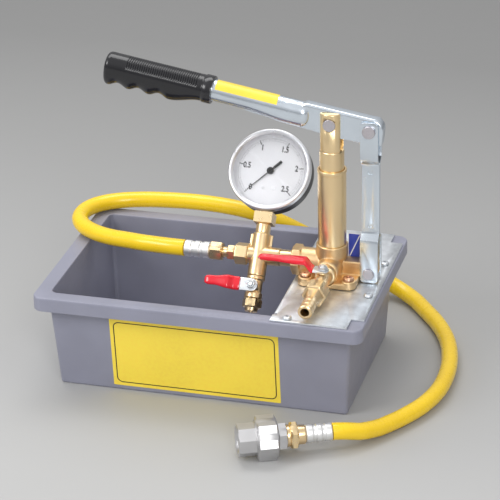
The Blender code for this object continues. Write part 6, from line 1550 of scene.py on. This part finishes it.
# The dial: where its scale starts and how far it sweeps, the print's height over the case's
# face, and the plain numbers with their fifth of the sweep and distance from the middle.
DIAL_START, DIAL_SWEEP = radians(225), radians(270)
DIAL_PRINT = PLACES["face"] @ Matrix.Translation((0, 0, 0.00604))
DIAL_NUMBERS = (("0", 0, 25.6), ("0.5", 1, 25.0), ("1", 2, 25.6), ("1.5", 3, 25.4),
                ("2", 4, 26.4), ("2.5", 5, 24.6))
STROKE_HEIGHT = 0.00008
ARC_STEPS = 108
POINTER_LOW, POINTER_THICK = 6.8, 0.6


def strokes_tree():
    """Geometry Nodes that lay a row of dial strokes along an arc."""
    name = "Dial Strokes"
    if name in bpy.data.node_groups:
        return bpy.data.node_groups[name]
    tree, given = nodes_tree(name, {
        "Count": "Int", "Start": "Float", "Sweep": "Float", "Radius": "Float", "Length": "Float",
        "Width": "Float", "Finish": "Material"})
    points = node(tree, "GeometryNodePoints", {"Count": given["Count"]}).outputs[0]
    index = node(tree, "GeometryNodeInputIndex").outputs[0]
    share = math(tree, "DIVIDE", index, math(tree, "SUBTRACT", given["Count"], 1.0))
    turn = math(tree, "SUBTRACT", given["Start"], times(tree, share, given["Sweep"]))
    x = times(tree, math(tree, "COSINE", turn), given["Radius"])
    y = times(tree, math(tree, "SINE", turn), given["Radius"])
    spot = node(tree, "ShaderNodeCombineXYZ", {"X": x, "Y": y}).outputs[0]
    moved = node(tree, "GeometryNodeSetPosition", {"Geometry": points,
                                                   "Position": spot}).outputs[0]
    size = node(tree, "ShaderNodeCombineXYZ", {"X": given["Length"], "Y": given["Width"],
                                               "Z": STROKE_HEIGHT}).outputs[0]
    stroke = node(tree, "GeometryNodeMeshCube", {"Size": size}).outputs[0]
    put_copies(tree, moved, stroke, turn, given["Finish"])
    return tree


class PUMP_OT_gauge(PumpOperator, bpy.types.Operator):
    """Make the gauge's case, ring, window, dial with its plain numbers, and pointer"""
    bl_idname = "test_pump.gauge"
    bl_label = "Gauge"

    def execute(self, context):
        turned_pieces("gauge_case", "gauge_bezel", "gauge_glass", "gauge_dial")
        fine = sizes().tick_count
        self.strokes("fine_strokes", fine + 1, 32.2, 1.5, 0.08)
        self.strokes("main_strokes", 6, 31.0, 4.6, 0.7)
        self.strokes("half_strokes", fine // 5 + 1, 31.9, 2.4, 0.16)
        self.arc("dial_arc", 33.0, 0.1)
        self.arc("dial_inner_arc", 30.9, 0.08)
        for text, share, radius in DIAL_NUMBERS:
            turn = DIAL_START - DIAL_SWEEP * share / 5
            self.number("dial_number_" + text.replace(".", "_"), text,
                        (radius * cos(turn) * MM, radius * sin(turn) * MM))
        for name, x in (("dial_screw_left", -5.6), ("dial_screw_right", 5.2)):
            settle(name, turned(((3.4, 5.9), (3.4, 6.5), (2.6, 6.8)), 28), "gauge_steel",
                   place=PLACES["face"] @ Matrix.Translation((x * MM, -17.5 * MM, 0)))
        self.pointer()
        return {"FINISHED"}

    def strokes(self, name, count, radius, length, width):
        """A row of even strokes along the scale."""
        made = grown(linked(name, bpy.data.meshes.new(name)), strokes_tree(), {
            "Count": count, "Start": DIAL_START, "Sweep": DIAL_SWEEP, "Radius": radius * MM,
            "Length": length * MM, "Width": width * MM, "Finish": finish("dial_ink")})
        self.printed("dial_" + name, solid_mesh(made))

    def printed(self, name, data, shift=Matrix.Identity(4)):
        """Ink on the dial."""
        data.transform(DIAL_PRINT @ shift)
        settle(name, data, "dial_ink")

    def arc(self, name, radius, width):
        inner, outer, half = (radius - width / 2) * MM, (radius + width / 2) * MM, STROKE_HEIGHT / 2
        rings = []
        for step in range(ARC_STEPS + 1):
            turn = DIAL_START - DIAL_SWEEP * step / ARC_STEPS
            rings.append([Vector((r * cos(turn), r * sin(turn), z)) for r, z in (
                (inner, -half), (outer, -half), (outer, half), (inner, half))])
        settle(name, skin(rings), "dial_ink", place=DIAL_PRINT)

    def number(self, name, text, at):
        curve = bpy.data.curves.new(name, "FONT")
        curve.body = text
        curve.size = 0.0082
        curve.align_x = "CENTER"
        curve.align_y = "CENTER"
        curve.extrude = 0.00003
        curve.offset = 0.0002
        narrow = Matrix.Scale(0.78, 4, (1, 0, 0))
        self.printed(name, solid_mesh(linked(name, curve)), Matrix.Translation((*at, 0)) @ narrow)

    def pointer(self):
        """A flat blade with a balance, on a round hub, at rest on the scale's first stroke."""
        side = ((29.5, 0.2), (4, 0.55), (-3, 0.6), (-6, 1.35), (-14.5, 1.35))
        blade = [(29.5, -0.2), *side, *[(x, -y) for x, y in side[:0:-1]]]
        mesh = raised(in_metres(blade), POINTER_LOW * MM, (POINTER_LOW + POINTER_THICK) * MM)
        add_to(mesh, turned(((1.6, 3.3), (1.6, 6.4), (7.2, 6.4), (7.2, 7.9), (6.1, 8.45)), 40,
                            radius=0.0002))
        settle("gauge_pointer_fine", mesh, "pointer_black", "pointer", ("gauge_pointer",),
               PLACES["face"] @ Matrix.Rotation(DIAL_START, 4, "Z"))


INNER_LOOKS = {
    "seal_rubber": ("plunger_seal_1", "plunger_seal_2"),
    "stainless_steel": ("suction_ball", "delivery_ball", "drain_valve_ball", "outlet_valve_ball"),
    "forged_brass": ("gauge_movement", "bourdon_tube"),
}


class PUMP_OT_inner(PumpOperator, bpy.types.Operator):
    """Give the hidden balls, seals and gauge works their finishes"""
    bl_idname = "test_pump.inner"
    bl_label = "Inner Pieces"

    def execute(self, context):
        for look, names in INNER_LOOKS.items():
            for name in names:
                materials = frame["nodes"][name].data.materials
                materials.clear()
                materials.append(finish(look))
        return {"FINISHED"}


MAKERS = (PUMP_OT_stage, PUMP_OT_hose, PUMP_OT_tank, PUMP_OT_deck, PUMP_OT_casting,
          PUMP_OT_barrel, PUMP_OT_link, PUMP_OT_lever, PUMP_OT_grip, PUMP_OT_fittings,
          PUMP_OT_handles, PUMP_OT_gauge, PUMP_OT_inner)


class PUMP_PT_panel(bpy.types.Panel):
    """Sizes, colours and the pieces in the order in which they are made"""
    bl_idname = "PUMP_PT_panel"
    bl_label = "Test Pump"
    bl_space_type = "VIEW_3D"
    bl_region_type = "UI"
    bl_category = "Test Pump"

    def draw(self, context):
        column = self.layout.column(align=True)
        for settings in (context.scene.pump_sizes, context.scene.pump_colours):
            for field in settings.bl_rna.properties:
                if field.identifier not in ("rna_type", "name"):
                    column.prop(settings, field.identifier)
            column.separator()
        for maker in MAKERS:
            column.operator(maker.bl_idname)


CLASSES = (PumpSizes, PumpColours, *MAKERS, PUMP_PT_panel)


def register():
    for kind in CLASSES:
        bpy.utils.register_class(kind)
    bpy.types.Scene.pump_sizes = PointerProperty(type=PumpSizes)
    bpy.types.Scene.pump_colours = PointerProperty(type=PumpColours)


def unregister():
    del bpy.types.Scene.pump_colours
    del bpy.types.Scene.pump_sizes
    for kind in reversed(CLASSES):
        bpy.utils.unregister_class(kind)


def main():
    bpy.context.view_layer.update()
    register()
    for maker in MAKERS:
        family, step = maker.bl_idname.split(".")
        getattr(getattr(bpy.ops, family), step)()


if __name__ == "__main__":
    main()
